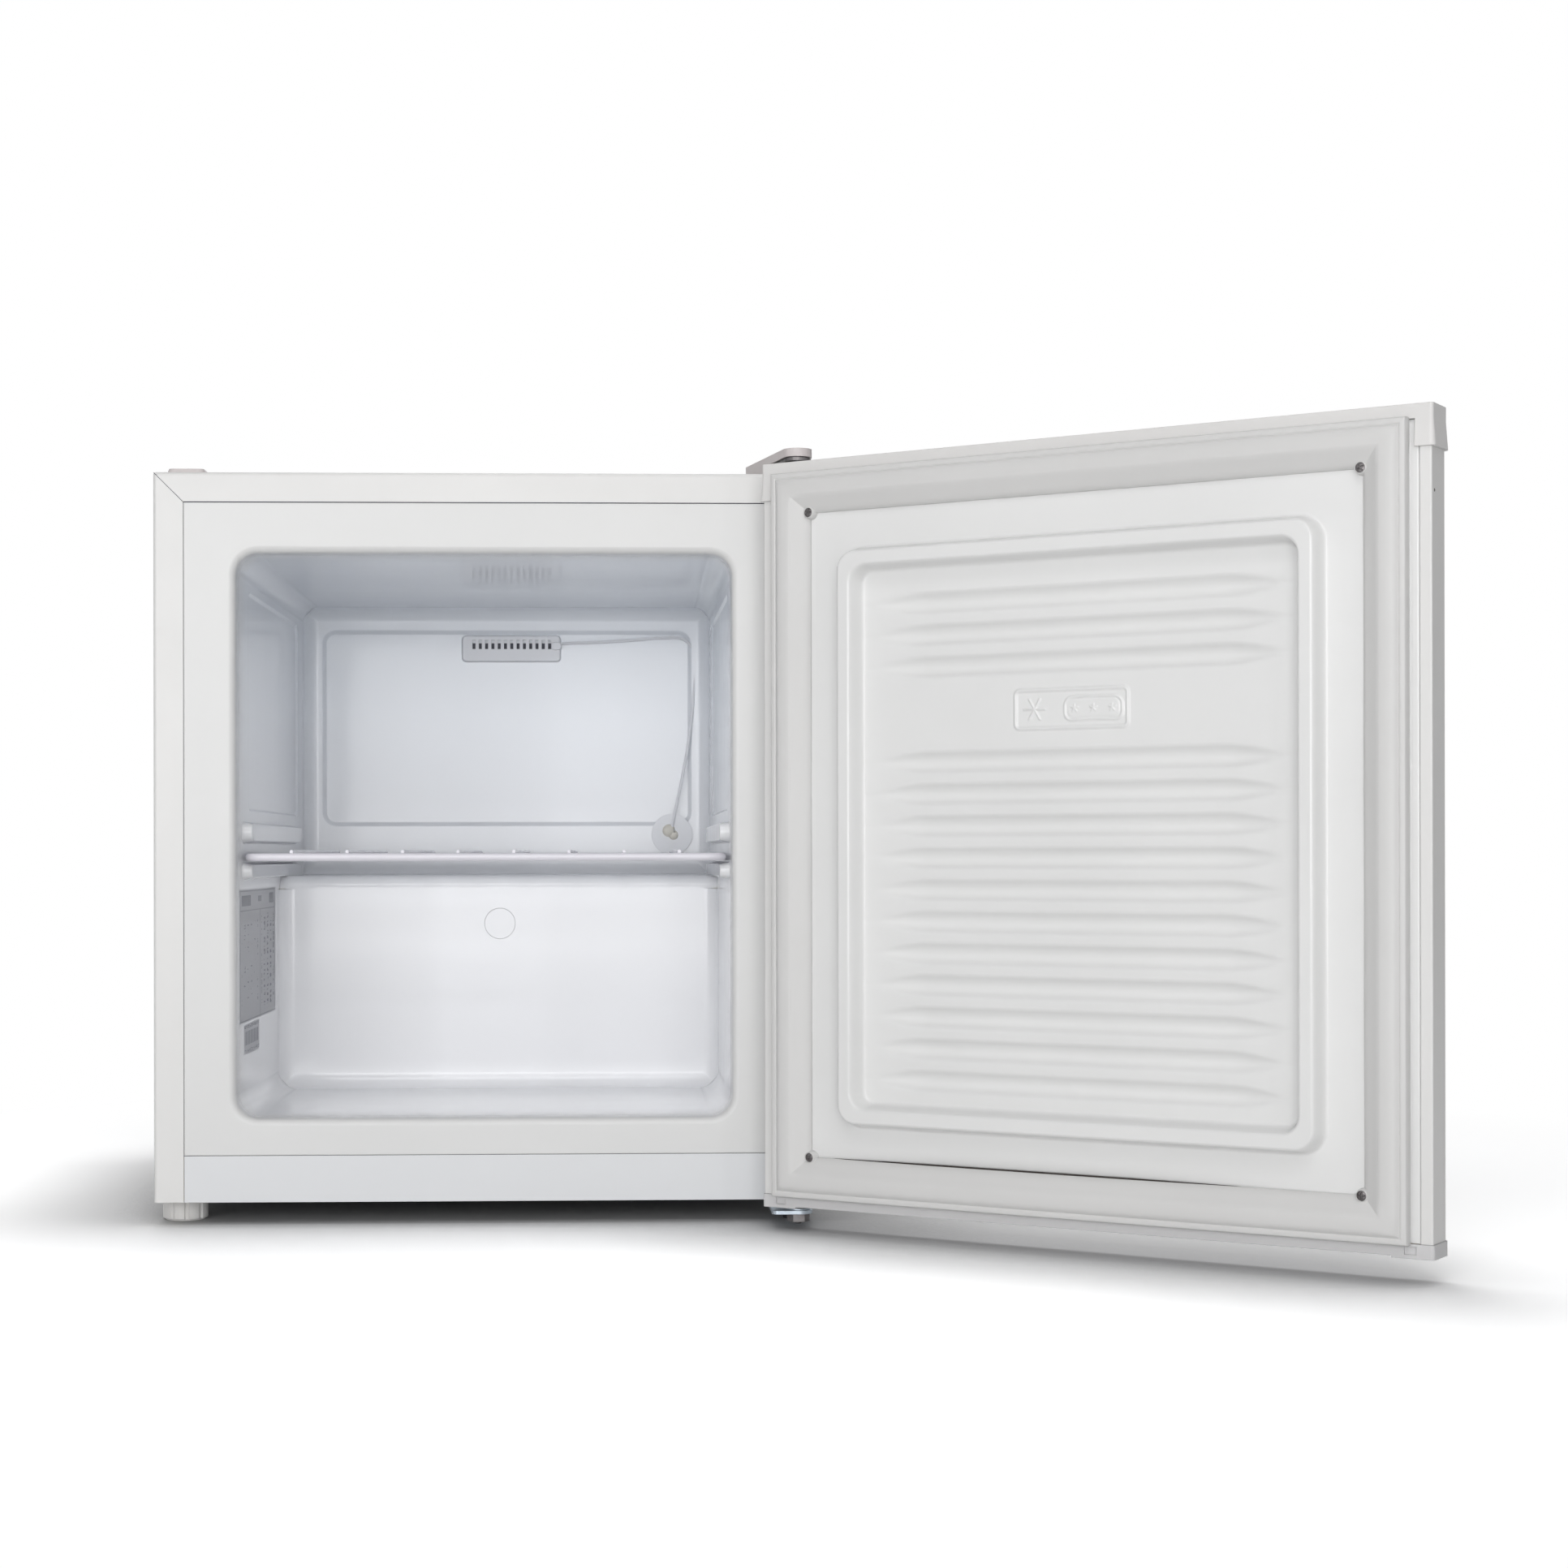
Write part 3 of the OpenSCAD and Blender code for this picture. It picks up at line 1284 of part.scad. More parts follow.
module door_foam() {
    on_door() color("khaki") difference() {
        union() {
            intersection() {
                union() {
                    translate([0, 0, door_z + 2]) linear_extrude(door_h - 4) door_plan(-1.6);
                    translate([0, 0, door_z + cap_h + seat_gap])
                        linear_extrude(door_h - 2 * cap_h - 2 * seat_gap) door_plan(-sheet_t);
                }
                translate([-past - 10, door_front, 0])
                    cube([door_w + 20, liner_back - door_front, door_top]);
            }
            liner_hollows();
        }
        groove_backs();
        translate([hinge_x, hinge_y, 0]) cylinder(h = door_z + 16, r = bush_r);
        translate([hinge_x, hinge_y, door_top - 16]) cylinder(h = 20, r = bush_r);
        for (z = [0, door_top - 9]) translate([spare_x, hinge_y, z])
            cylinder(h = door_z + 9, r = plug_r);
        for (p = liner_screw_spots) translate([p[0], 0, p[1]]) along_y(liner_face - 14, 14) circle(1.6);
    }
}

// Frame of the seal between two distances from its outer edge, from one height to another.
module seal_frame(from, to, low, high) {
    translate([part_x, 0, part_z]) along_y(liner_face + low, high - low) difference() {
        centred_card(seal_out_w - 2 * from, seal_out_h - 2 * from, max(4 - from, 1));
        centred_card(seal_out_w - 2 * to, seal_out_h - 2 * to, 1);
    }
}

// Magnetic seal: a foot all round, an outer lip, the sealing band and an inner lip.
module door_seal() {
    on_door() color([0.84, 0.84, 0.81]) difference() {
        union() {
            seal_frame(0, seal_w, 0, 3.4);
            seal_frame(0, 4.4, 3, lip_top);
            seal_frame(4, 18.5, 3, seal_top);
            seal_frame(22.5, seal_w, 3, 5);
        }
        seal_frame(6.4, 16.6, -past, seal_top - 1.1);
        for (p = liner_screw_spots) translate([p[0], 0, p[1]]) along_y(liner_face - past, 9) circle(3.6);
    }
}

// Four magnetic strips in the sealing band.
module seal_magnets() {
    in = 6.8;
    w = 9.4;
    low = seal_top - 4.4;
    on_door() color([0.25, 0.22, 0.2]) intersection() {
        seal_frame(in, in + w, low, low + 3);
        union() {
            for (s = [-1, 1]) {
                translate([part_x + s * (seal_out_w / 2 - in - w / 2), 0, part_z])
                    cube([w + 0.2, 100, seal_out_h - 2 * (in + w) - 2], center = true);
                translate([part_x, 0, part_z + s * (seal_out_h / 2 - in - w / 2)])
                    cube([seal_out_w - 2 * (in + w) - 2, 100, w + 0.2], center = true);
            }
        }
    }
}

module liner_screws() {
    on_door() color("silver") for (p = liner_screw_spots)
        translate([p[0], liner_face + seat_gap, p[1]]) rotate([90, 0, 0]) {
            cylinder(h = 12, r = 1.55);
            translate([0, 0, -1.8]) cylinder(h = 1.8, r1 = 1.9, r2 = 2.9);
        }
}

module bush(pin_r, outer_r) {
    difference() {
        union() {
            cylinder(h = 14, r = outer_r);
            translate([0, 0, -1.6]) cylinder(h = 1.6, r = outer_r + 1.6);
        }
        translate([0, 0, -5]) cylinder(h = 30, r = pin_r + pin_play);
    }
}

module lower_bush() {
    on_door() color("white") translate([hinge_x, hinge_y, door_z]) bush(lower_pin_d / 2, bush_r);
}

module upper_bush() {
    on_door() color("white") translate([hinge_x, hinge_y, door_top]) mirror([0, 0, 1])
        bush(upper_pin_d / 2, bush_r);
}

// Plugs in the holes that the hinge pins use when the door is hung on the other side.
module spare_hole_plugs() {
    on_door() color("whitesmoke") for (side = [0, 1])
        translate([spare_x, hinge_y, side == 0 ? door_z : door_top])
            mirror([0, 0, side]) {
                translate([0, 0, -1]) cylinder(h = 1, r1 = plug_r + 0.6, r2 = plug_r + 1.4);
                cylinder(h = 7, r = plug_r - 0.05);
            }
}

// ---------------------------------------------------------------- drawing

outer_wrap();
back_panel();
base_panel();
front_rail();
cabinet_liner();
cabinet_foam();
hinge_hole_cap();
sensor_cover();
sensor_tube();
tube_grommet();
sealing_putty();
wire_shelf();
evaporator_tube();
compressor_deck();
compressor();
compressor_foot_plate();
compressor_grommets();
compressor_bolts();
relay_box();
discharge_tube();
suction_tube();
filter_drier();
capillary_tube();
condenser_tube();
condenser_wires();
condenser_clips();
thermostat_box();
thermostat_knob();
cable_gland();
earth_screw();
front_foot_left();
foot_stud_left();
front_foot_right();
foot_stud_right();
foot_inserts();
rear_feet();
upper_hinge_bracket();
upper_hinge_pin();
upper_hinge_screws();
hinge_cover();
lower_hinge_bracket();
lower_hinge_pin();
lower_hinge_screws();
hinge_washer();
door_skin();
door_top_cap();
door_bottom_cap();
door_foam();
door_liner();
door_seal();
seal_magnets();
liner_screws();
upper_bush();
lower_bush();
spare_hole_plugs();
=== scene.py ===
# %% [markdown]
# # Dressing a compact upright freezer
# The freezer's measured solids come first and stay where they are. Everything after that is
# about how the real one looks: enamel, vacuum-formed plastic, a soft seal, galvanised sheet and
# copper tube, and the small pieces that a maker adds last. Work runs from the camera to the
# finishes, then from the door to the cabinet and its back, and ends with the floor and the
# light.

# %% Load the measured freezer
import json
import math

import bpy
import bmesh
from mathutils import Matrix, Vector

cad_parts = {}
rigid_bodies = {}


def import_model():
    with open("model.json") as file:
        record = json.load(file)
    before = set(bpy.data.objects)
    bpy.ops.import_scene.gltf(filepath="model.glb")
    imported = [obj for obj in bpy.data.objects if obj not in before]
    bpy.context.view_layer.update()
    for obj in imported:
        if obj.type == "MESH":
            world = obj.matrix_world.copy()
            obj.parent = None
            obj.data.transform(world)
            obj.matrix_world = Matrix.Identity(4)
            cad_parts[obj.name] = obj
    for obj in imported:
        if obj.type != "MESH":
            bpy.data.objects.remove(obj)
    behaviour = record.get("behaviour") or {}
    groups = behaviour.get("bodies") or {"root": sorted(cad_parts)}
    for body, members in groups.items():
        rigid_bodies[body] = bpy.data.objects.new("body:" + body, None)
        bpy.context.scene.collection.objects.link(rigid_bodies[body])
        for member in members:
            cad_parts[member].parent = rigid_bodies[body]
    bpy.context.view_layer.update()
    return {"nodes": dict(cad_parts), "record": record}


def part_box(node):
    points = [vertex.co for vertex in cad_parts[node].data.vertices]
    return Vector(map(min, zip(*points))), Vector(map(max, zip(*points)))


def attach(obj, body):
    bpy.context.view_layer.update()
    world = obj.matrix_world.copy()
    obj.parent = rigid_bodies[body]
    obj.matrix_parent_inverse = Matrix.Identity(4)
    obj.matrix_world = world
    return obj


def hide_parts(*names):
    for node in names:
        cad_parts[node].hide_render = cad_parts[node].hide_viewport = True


for leftover in list(bpy.data.objects):
    bpy.data.objects.remove(leftover)
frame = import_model()
MM = 0.001

# %% [markdown]
# Two rulers make the rest easy. The first counts millimetres from the cabinet's front left
# bottom corner, as a workshop drawing does. The second does the same on the closed door and then
# swings the piece round the hinge to where the door stands open, so that a piece on the door is
# drawn straight and only turned at the end.

# %% Rulers on the cabinet and on the door
shell_low, shell_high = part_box("outer_wrap")
hinge = next(j for j in frame["record"]["behaviour"]["joints"] if j["name"] == "door_hinge")
hinge_axis = Vector((hinge["pos_m"][0], hinge["pos_m"][1], 0))
door_open = math.radians(-hinge["range_deg"][0])
CABINET = Matrix.Translation((shell_low.x, shell_low.y, shell_low.z)) @ Matrix.Scale(MM, 4)
SWING = (Matrix.Translation(hinge_axis) @ Matrix.Rotation(door_open, 4, "Z")
         @ Matrix.Translation(-hinge_axis))
DOOR = SWING @ CABINET
print("cabinet", [round(v / MM, 1) for v in (shell_high - shell_low)], "mm")

# %% [markdown]
# The camera stands almost square to the cabinet, a little to the left of its middle, at the
# height of a seated eye. A long lens keeps the upright edges upright. The small shifts move the
# frame without turning the camera, as a view camera does.

# %% Camera
eye = CABINET @ Vector((309.39, -1794.13, 230.87))
look_right = math.radians(-1.921)
look_up = 0.0012
lean = -0.0015
camera_data = bpy.data.cameras.new("camera")
camera_data.sensor_width = 36
camera_data.lens = 61.47
camera_data.shift_x, camera_data.shift_y = 0.0485, 0.0435
camera = bpy.data.objects.new("camera", camera_data)
bpy.context.collection.objects.link(camera)
camera.matrix_world = (Matrix.Translation(eye) @ Matrix.Rotation(look_right, 4, "Z")
                       @ Matrix.Rotation(math.pi / 2 + look_up, 4, "X")
                       @ Matrix.Rotation(lean, 4, "Z"))
bpy.context.scene.camera = camera
scene = bpy.context.scene
scene.view_settings.view_transform = "Standard"
print("lens", camera_data.lens, "mm")

# %% [markdown]
# Shader maths reads best as ordinary sums. The first class below wraps the socket that a node
# gives out, and each operator adds a Math node. The second one is the only maker of nodes: it
# takes a node's type, its settings, and the values or links of its sockets, and the floor and
# the room use it too.

# %% Sums on sockets and one maker of nodes
class Number:
    """What a node gives out, most often a number that changes over a surface."""

    def __init__(self, nodes, socket):
        self.nodes = nodes
        self.socket = socket

    def sum_with(self, operation, first, second):
        return self.nodes.node("ShaderNodeMath", {"operation": operation}, {0: first, 1: second})

    def __add__(self, other):
        return self.sum_with("ADD", self, other)

    def __sub__(self, other):
        return self.sum_with("SUBTRACT", self, other)

    def __rsub__(self, other):
        return self.sum_with("SUBTRACT", other, self)

    def __mul__(self, other):
        return self.sum_with("MULTIPLY", self, other)

    def __truediv__(self, other):
        return self.sum_with("DIVIDE", self, other)

    def __pow__(self, other):
        return self.sum_with("POWER", self, other)

    def __gt__(self, other):
        return self.sum_with("GREATER_THAN", self, other)

    def __lt__(self, other):
        return self.sum_with("LESS_THAN", self, other)

    __radd__ = __add__
    __rmul__ = __mul__


class Nodes:
    """Adds nodes to one node tree."""

    def __init__(self, tree):
        self.tree = tree

    def node(self, kind, settings=None, sockets=None, out=0):
        """Adds a node of a given type and hands back one of the things it gives out."""
        made = self.tree.nodes.new(kind)
        for name, value in (settings or {}).items():
            setattr(made, name, value)
        for name, value in (sockets or {}).items():
            if isinstance(value, Number):
                self.tree.links.new(value.socket, made.inputs[name])
            else:
                made.inputs[name].default_value = value
        return Number(self, made.outputs[out])

    def place(self, axis=None, kind="Object"):
        """Where a point lies on the piece, in metres; with an axis, one of its three numbers."""
        spot = self.node("ShaderNodeTexCoord", out=kind)
        if axis is None:
            return spot
        return self.node("ShaderNodeSeparateXYZ", {}, {0: spot}, out="XYZ".index(axis))

    def between(self, value, low, high, to_low=0.0, to_high=1.0):
        """Where a number lies between two others, as 0 to 1 or in a range of its own."""
        return self.node("ShaderNodeMapRange", {},
                         {0: value, 1: low, 2: high, 3: to_low, 4: to_high})

    def blend(self, share, first, second):
        """One shader turning into another."""
        return self.node("ShaderNodeMixShader", {}, {0: share, 1: first, 2: second})

    def hand_over(self, shader, output):
        """Makes a shader the one that the whole tree gives out."""
        self.tree.links.new(shader.socket, self.tree.nodes[output].inputs[0])

print("maker of nodes ready")

# %% [markdown]
# A finish starts from a Principled shader with the numbers that are the same all over, and the
# patterns are added where the surface really varies. Every pattern reads where a point lies on
# the piece, in metres, so that its grain has the size of the real one on every piece.

# %% A finish and its patterns
def shade(colour, share):
    """The same colour, darker or lighter."""
    return tuple(channel * share for channel in colour)


class Finish(Nodes):
    """A material built round one Principled shader."""

    def __init__(self, name, colour, roughness, **constants):
        self.material = bpy.data.materials.new(name)
        self.material.use_nodes = True
        super().__init__(self.material.node_tree)
        self.shader = next(n for n in self.tree.nodes if n.type == "BSDF_PRINCIPLED")
        self.shader.inputs["Base Color"].default_value = (*colour, 1)
        self.shader.inputs["Roughness"].default_value = roughness
        for socket, value in constants.items():
            self.shader.inputs[socket].default_value = value

    def grain(self, size, detail=2, rough=0.5):
        """Soft irregular noise from 0 to 1 whose lumps are about size metres across."""
        return self.node("ShaderNodeTexNoise", {}, {"Vector": self.place(), "Scale": 1 / size,
                                                   "Detail": detail, "Roughness": rough})

    def mix(self, share, first, second):
        """One colour turning into another."""
        first, second = [(*c, 1) if isinstance(c, tuple) else c for c in (first, second)]
        return self.node("ShaderNodeMix", {"data_type": "RGBA"},
                         {0: share, 6: first, 7: second}, out=2)

    def feed(self, **sockets):
        """Links what varies over the surface to the shader."""
        for name, value in sockets.items():
            self.tree.links.new(value.socket, self.shader.inputs[name.replace("_", " ")])

    def relief(self, *layers, soft=0.0):
        """Bumps under the light; each layer is a height from 0 to 1 and its depth in metres.
        With soft, edges catch the light as if they were rounded to that radius."""
        normal = self.node("ShaderNodeBevel", {"samples": 6}, {"Radius": soft}) if soft else None
        for height, depth in layers:
            sockets = {"Height": height, "Distance": depth, "Strength": 1.0}
            if normal:
                sockets["Normal"] = normal
            normal = self.node("ShaderNodeBump", {}, sockets)
        if normal:
            self.feed(Normal=normal)

    def near(self, value, middle, half):
        """1 where a value lies within half of middle, and 0 elsewhere."""
        return self.node("ShaderNodeMath", {"operation": "COMPARE"},
                         {0: value, 1: middle, 2: half})

    def inside(self, value, low, high):
        """1 where a value lies between two others, and 0 elsewhere."""
        return self.near(value, (low + high) / 2, (high - low) / 2)

    def either(self, *shares):
        """The largest of several shares, as where one print lies over another."""
        most = shares[0]
        for share in shares[1:]:
            most = self.node("ShaderNodeMath", {"operation": "MAXIMUM"}, {0: most, 1: share})
        return most

    def part_of(self, value):
        """What is left of a number after its whole part, which repeats a pattern."""
        return self.node("ShaderNodeMath", {"operation": "FRACT"}, {0: value})

print("patterns ready")

# %% [markdown]
# The outside of the cabinet and the door is sheet steel with baked enamel. Sprayed enamel dries
# with a faint orange peel about a millimetre wide, and a hand leaves it a shade duller in
# places. Real colour variation is small, so it stays under two hundredths.

# %% Baked enamel
def baked_enamel(name, colour, roughness, peel=0.000005):
    f = Finish(name, colour, roughness)
    cloud = f.between(f.grain(0.09, detail=3), 0.3, 0.7)
    f.feed(Base_Color=f.mix(cloud, shade(colour, 0.985), colour),
           Roughness=f.between(f.grain(0.03, detail=4), 0.3, 0.75, roughness - 0.04,
                               roughness + 0.06))
    f.relief((f.grain(0.0016, detail=1), peel), (f.grain(0.011, detail=1), peel * 2),
             soft=0.0007)
    return f.material

finishes = {}
finishes["white_enamel"] = baked_enamel("white enamel", (0.72, 0.715, 0.705), 0.36)
finishes["cool_enamel"] = baked_enamel("cool enamel", (0.7, 0.71, 0.725), 0.34)
finishes["black_enamel"] = baked_enamel("black enamel", (0.018, 0.018, 0.02), 0.34, peel=0.00002)
print("enamel finishes:", len(finishes))

# %% [markdown]
# Plastics differ by how they are shaped. Vacuum-formed sheet keeps the soft waviness of the
# stretched plastic and has no texture of its own. Moulded pieces copy the mould, which is
# eroded to a fine even grain. Both are one recipe with different depths.

# %% Plastics
def plastic(name, colour, roughness, wave=0.0, texture=0.0, soft=0.0008):
    """Wave and texture are the depths, in metres, of the waviness and of the mould's grain."""
    f = Finish(name, colour, roughness)
    cloud = f.between(f.grain(0.12), 0.35, 0.7)
    f.feed(Base_Color=f.mix(cloud, colour, shade(colour, 0.975)),
           Roughness=f.between(f.grain(0.025, detail=3), 0.3, 0.75, roughness - 0.03,
                               roughness + 0.05))
    layers = []
    if wave:
        layers.append((f.grain(0.05, detail=0), wave))
    if texture:
        layers.append((f.grain(0.0007, rough=0.6), texture))
    f.relief(*layers, soft=soft)
    return f.material

finishes["liner_white"] = plastic("formed door liner", (0.755, 0.755, 0.75), 0.215, wave=0.00005,
                                  soft=0)
finishes["white_plastic"] = plastic("moulded white", (0.71, 0.7, 0.69), 0.4, texture=0.000005)
# Painted light: a lighter, bluer copy of the moulded white for parts deep in the cavity.
finishes["painted_cool_light_white"] = plastic("moulded white, painted cool light", (0.83, 0.84, 0.87), 0.32, texture=0.000003,
                                 soft=0.0005)
# Painted reflection: the pink tint stands for a warm reflection on the hinge cover and its cap.
finishes["painted_warm_reflection_white"] = plastic("moulded white, painted warm reflection", (0.62, 0.575, 0.57), 0.45,
                                   texture=0.000005, soft=0)
# Painted shade: a darker copy of the moulded white for the door's bottom cap, whose face is in
# shade.
finishes["shaded_white"] = plastic("moulded white, painted shade", (0.6, 0.595, 0.6), 0.45,
                                   texture=0.000005)
finishes["grey_plastic"] = plastic("moulded grey", (0.68, 0.69, 0.72), 0.4, texture=0.000006)
finishes["black_plastic"] = plastic("moulded black", (0.028, 0.028, 0.03), 0.5, texture=0.00002)
finishes["seal_grey"] = plastic("soft seal", (0.64, 0.635, 0.628), 0.52, wave=0.00005,
                                texture=0.000004)
finishes["black_rubber"] = plastic("moulded rubber", (0.02, 0.02, 0.02), 0.72, texture=0.00003)
# Its near-black also serves as painted shade in the seal's crease and the door's vent hole.
finishes["magnet_strip"] = plastic("magnet strip", (0.035, 0.026, 0.022), 0.6, texture=0.00001)
finishes["putty"] = plastic("sealing putty", (0.8, 0.77, 0.69), 0.6, wave=0.0004,
                            texture=0.00004)
finishes["foam"] = plastic("cut foam", (0.62, 0.52, 0.25), 0.85, wave=0.0002, texture=0.0003)
# Painted shade: a dark colour for pieces that stand for shade in hollows and joints.
finishes["painted_shade_dark"] = plastic("painted shade dark", (0.11, 0.11, 0.13), 0.8, texture=0.0002)
finishes["white_wire"] = plastic("wire coating", (0.74, 0.725, 0.78), 0.215, wave=0.00002)
print("finishes so far:", len(finishes))

# %% [markdown]
# The cavity is one deep box drawn out of a flat sheet. Around the mouth the sheet keeps its
# full thickness and its warm white. The deeper it is drawn, the thinner and glossier it gets.
# Deeper in, its colour turns lighter and bluer: that is painted light, for the cool light in
# the deep box and for the light that does not reach so far. The finish reads how deep a point
# lies behind the front and turns from one to the other. Towards the top the deep colour is
# bluer still, as painted cool light on the upper walls.

# %% Cavity liner
def drawn_box(name, front, low, high):
    f = Finish(name, front, 0.3)
    depth = f.place("Y") - CABINET.translation.y
    share = f.between(depth, 0.002, 0.05)
    cloud = f.between(f.grain(0.12), 0.35, 0.7)
    # Painted light: deep in the box the colour is lighter and bluer, and bluer still towards the
    # top.
    deep_painted_light = f.mix(f.between(f.place("Z"), 0.2, 0.42), low, high)
    f.feed(Base_Color=f.mix(share, f.mix(cloud, front, shade(front, 0.98)), deep_painted_light),
           Roughness=f.between(share, 0, 1, 0.32, 0.09) + f.grain(0.02, detail=4) * 0.04)
    f.relief((f.grain(0.05, detail=0), 0.00006), soft=0.0014)
    return f.material

# The low and high colours are painted light, lighter and bluer than the front.
finishes["cavity_white"] = drawn_box("formed cavity liner", front=(0.69, 0.69, 0.685),
                                     low=(0.855, 0.86, 0.88), high=(0.865, 0.895, 0.94))
print("finishes so far:", len(finishes))

# %% [markdown]
# Galvanised sheet is known by its spangle, the frost flowers of zinc, each about a centimetre
# across and each a slightly different grey. Plated and drawn metals are plainer: a tube is
# drawn along its length and stains slowly, and a plated screw is only a little uneven.

# %% Metals
def spangled_zinc(name, colour):
    f = Finish(name, colour, 0.42, Metallic=0.85)
    cell = f.node("ShaderNodeTexVoronoi", {"feature": "F1"}, {"Vector": f.place(), "Scale": 95.0},
                  out="Color")
    flower = f.node("ShaderNodeSeparateColor", {}, {0: cell})
    share = flower * 0.75 + f.grain(0.004, detail=3) * 0.25
    f.feed(Base_Color=f.mix(share, shade(colour, 0.8), shade(colour, 1.08)),
           Roughness=f.between(share, 0, 1, 0.34, 0.52))
    f.relief((f.grain(0.02), 0.00005), soft=0.0005)
    return f.material


def bare_metal(name, colour, stain, roughness):
    f = Finish(name, colour, roughness, Metallic=1.0)
    cloud = f.grain(0.012, detail=5, rough=0.6)
    f.feed(Base_Color=f.mix(f.between(cloud, 0.42, 0.72), colour, stain),
           Roughness=f.between(cloud, 0.3, 0.75, roughness - 0.08, roughness + 0.12))
    f.relief((f.grain(0.0015, detail=3), 0.00001), soft=0.0004)
    return f.material

finishes["zinc_sheet"] = spangled_zinc("galvanised sheet", (0.5, 0.51, 0.52))
finishes["zinc_steel"] = bare_metal("zinc plating", (0.57, 0.63, 0.69), (0.38, 0.44, 0.49), 0.37)
# On the seal's corner screws this dark colour is painted shade.
finishes["dark_steel"] = bare_metal("oiled steel", (0.2, 0.19, 0.19), (0.08, 0.07, 0.07), 0.42)
finishes["copper"] = bare_metal("drawn copper", (0.64, 0.29, 0.17), (0.26, 0.11, 0.06), 0.37)
finishes["yellow_brass"] = bare_metal("brass", (0.65, 0.45, 0.16), (0.4, 0.26, 0.09), 0.37)
finishes["aluminium_tube"] = bare_metal("drawn aluminium", (0.62, 0.63, 0.64),
                                        (0.45, 0.46, 0.47), 0.42)
print("finishes:", len(finishes))

# %% [markdown]
# Each measured solid now gets the finish that the record's material list names for it. A few
# have one of their own. The front rail's white comes from another batch and is colder. The
# cavity liner, the sensor cover and the grommet are painted lighter and bluer as painted light,
# the hinge cover and its cap carry a pink painted warm reflection, and the door's bottom cap
# is a darker white as painted shade. The lower pin and the upper bracket are oiled steel
# instead of plated.

# %% Finish the measured solids
slot_of = {part["node"]: part["material_slot"] for part in frame["record"]["subparts"]}
own_finish = {"cabinet_liner": "cavity_white", "front_rail": "cool_enamel",
              "hinge_cover": "painted_warm_reflection_white", "hinge_hole_cap": "painted_warm_reflection_white",
              "lower_hinge_pin": "dark_steel", "upper_hinge_bracket": "dark_steel",
              "sensor_cover": "painted_cool_light_white", "tube_grommet": "painted_cool_light_white",
              "door_bottom_cap": "shaded_white"}
for name, solid in frame["nodes"].items():
    solid.data.materials.clear()
    solid.data.materials.append(finishes[own_finish.get(name, slot_of[name])])
print("solids finished:", len(slot_of))

# %% [markdown]
# New pieces are drawn in millimetres on one of the two rulers and then moved into place, so
# their objects stay at the origin. The helper below does that for all of them, gives the piece
# its finish, and says which part of the freezer it moves with. Faces that meet at more than a
# given angle keep a crisp edge, and all others are shaded as one smooth skin.

# %% From a drawn shape to a piece of the freezer
def piece(name, shape, finish, body="cabinet", ruler=CABINET, crisp=50, replaces=()):
    shape.transform(ruler)
    data = bpy.data.meshes.new(name)
    shape.to_mesh(data)
    shape.free()
    data.shade_smooth()
    data.set_sharp_from_angle(angle=math.radians(crisp))
    data.materials.append(finishes[finish])
    made = bpy.data.objects.new(name, data)
    bpy.context.collection.objects.link(made)
    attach(made, body)
    if replaces:
        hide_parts(*replaces)
    print(name, len(data.polygons), "faces")
    return made


def ruled(*runs):
    """Ruler marks: runs of (start, end, step) that follow one another."""
    marks = []
    for start, end, step in runs:
        count = max(1, round((end - start) / step))
        marks += [start + (end - start) * i / count for i in range(count)]
    return marks + [runs[-1][1]]


def ease(value):
    """A soft step: 0 before 0, 1 after 1, and rounded at both ends."""
    value = min(1.0, max(0.0, value))
    return value * value * (3 - 2 * value)


def outside(x, z, width, height, corner):
    """How far a point lies outside a rounded rectangle round the origin."""
    dx = abs(x) - width / 2 + corner
    dz = abs(z) - height / 2 + corner
    return math.hypot(max(dx, 0), max(dz, 0)) + min(max(dx, dz), 0) - corner

print("helpers ready")

# %% [markdown]
# The door's inner skin is one sheet of polystyrene, heated and sucked down over a mould, so no
# edge on it is sharp: a ring stands up round the middle, and fourteen shallow grooves that run
# out to a point stiffen the well inside it. It could be cut from a block with boolean tools, but
# a formed sheet is never that crisp. The way here is the factory's own. A flat grid is the
# sheet, its lines are laid closer where the mould bends, and each point is pressed to the
# height of the mould. A Solidify modifier gives the sheet its thickness.

# %% The mould of the door liner
face_y = -11.0
door_middle = Vector((221, 243.95))
sheet_half = Vector((210.4, 233.8))
rim_depth = 2.2
rim_bend = Vector((1.6, 1.4))
ring_outside = (320, 369.5, 14)
ring_inside = (291.6, 341.1, 8)
ring_z = 242.35
ring_height = 13
outer_foot, outer_bend = 1.4, 4.2
inner_foot, inner_bend = 1.0, 4.6
crease_z = 35.3
crease_depth = 1.4
crease_half = 1.1
groove_pitch = 20.1
groove_z = [389.65 - groove_pitch * k for k in range(16) if k not in (3, 4)]
groove_half = 136
groove_taper = 34
groove_deepest = 4.3
spindle_over = 2.76
lip_round = 0.9
lift_middle, lift_reach = 30, 160


def groove_depth(x, z):
    """The groove's hollow, cut by a spindle whose both ends run out to a point. Its axis lies
    a little over the sheet, and the lips of the cut are rounded."""
    row = min(groove_z, key=lambda middle: abs(middle - z))
    thin = min(1.0, max(0.0, abs(x) - (groove_half - groove_taper)) / groove_taper)
    spindle = spindle_over + groove_deepest * (1 - thin ** 1.5) ** 1.1
    off = abs(z - row)
    cut = math.sqrt(spindle ** 2 - off ** 2) - spindle_over if off < spindle else -lip_round
    near_lip = max(lip_round - abs(cut), 0) / lip_round
    return max(cut, 0) + near_lip ** 2 * lip_round / 4


def lifted(x, full=1.25):
    """How far the seal's lower lip is off the liner: 1 round the middle, 0 near the corners."""
    return ease(full - abs(x - lift_middle) / lift_reach)


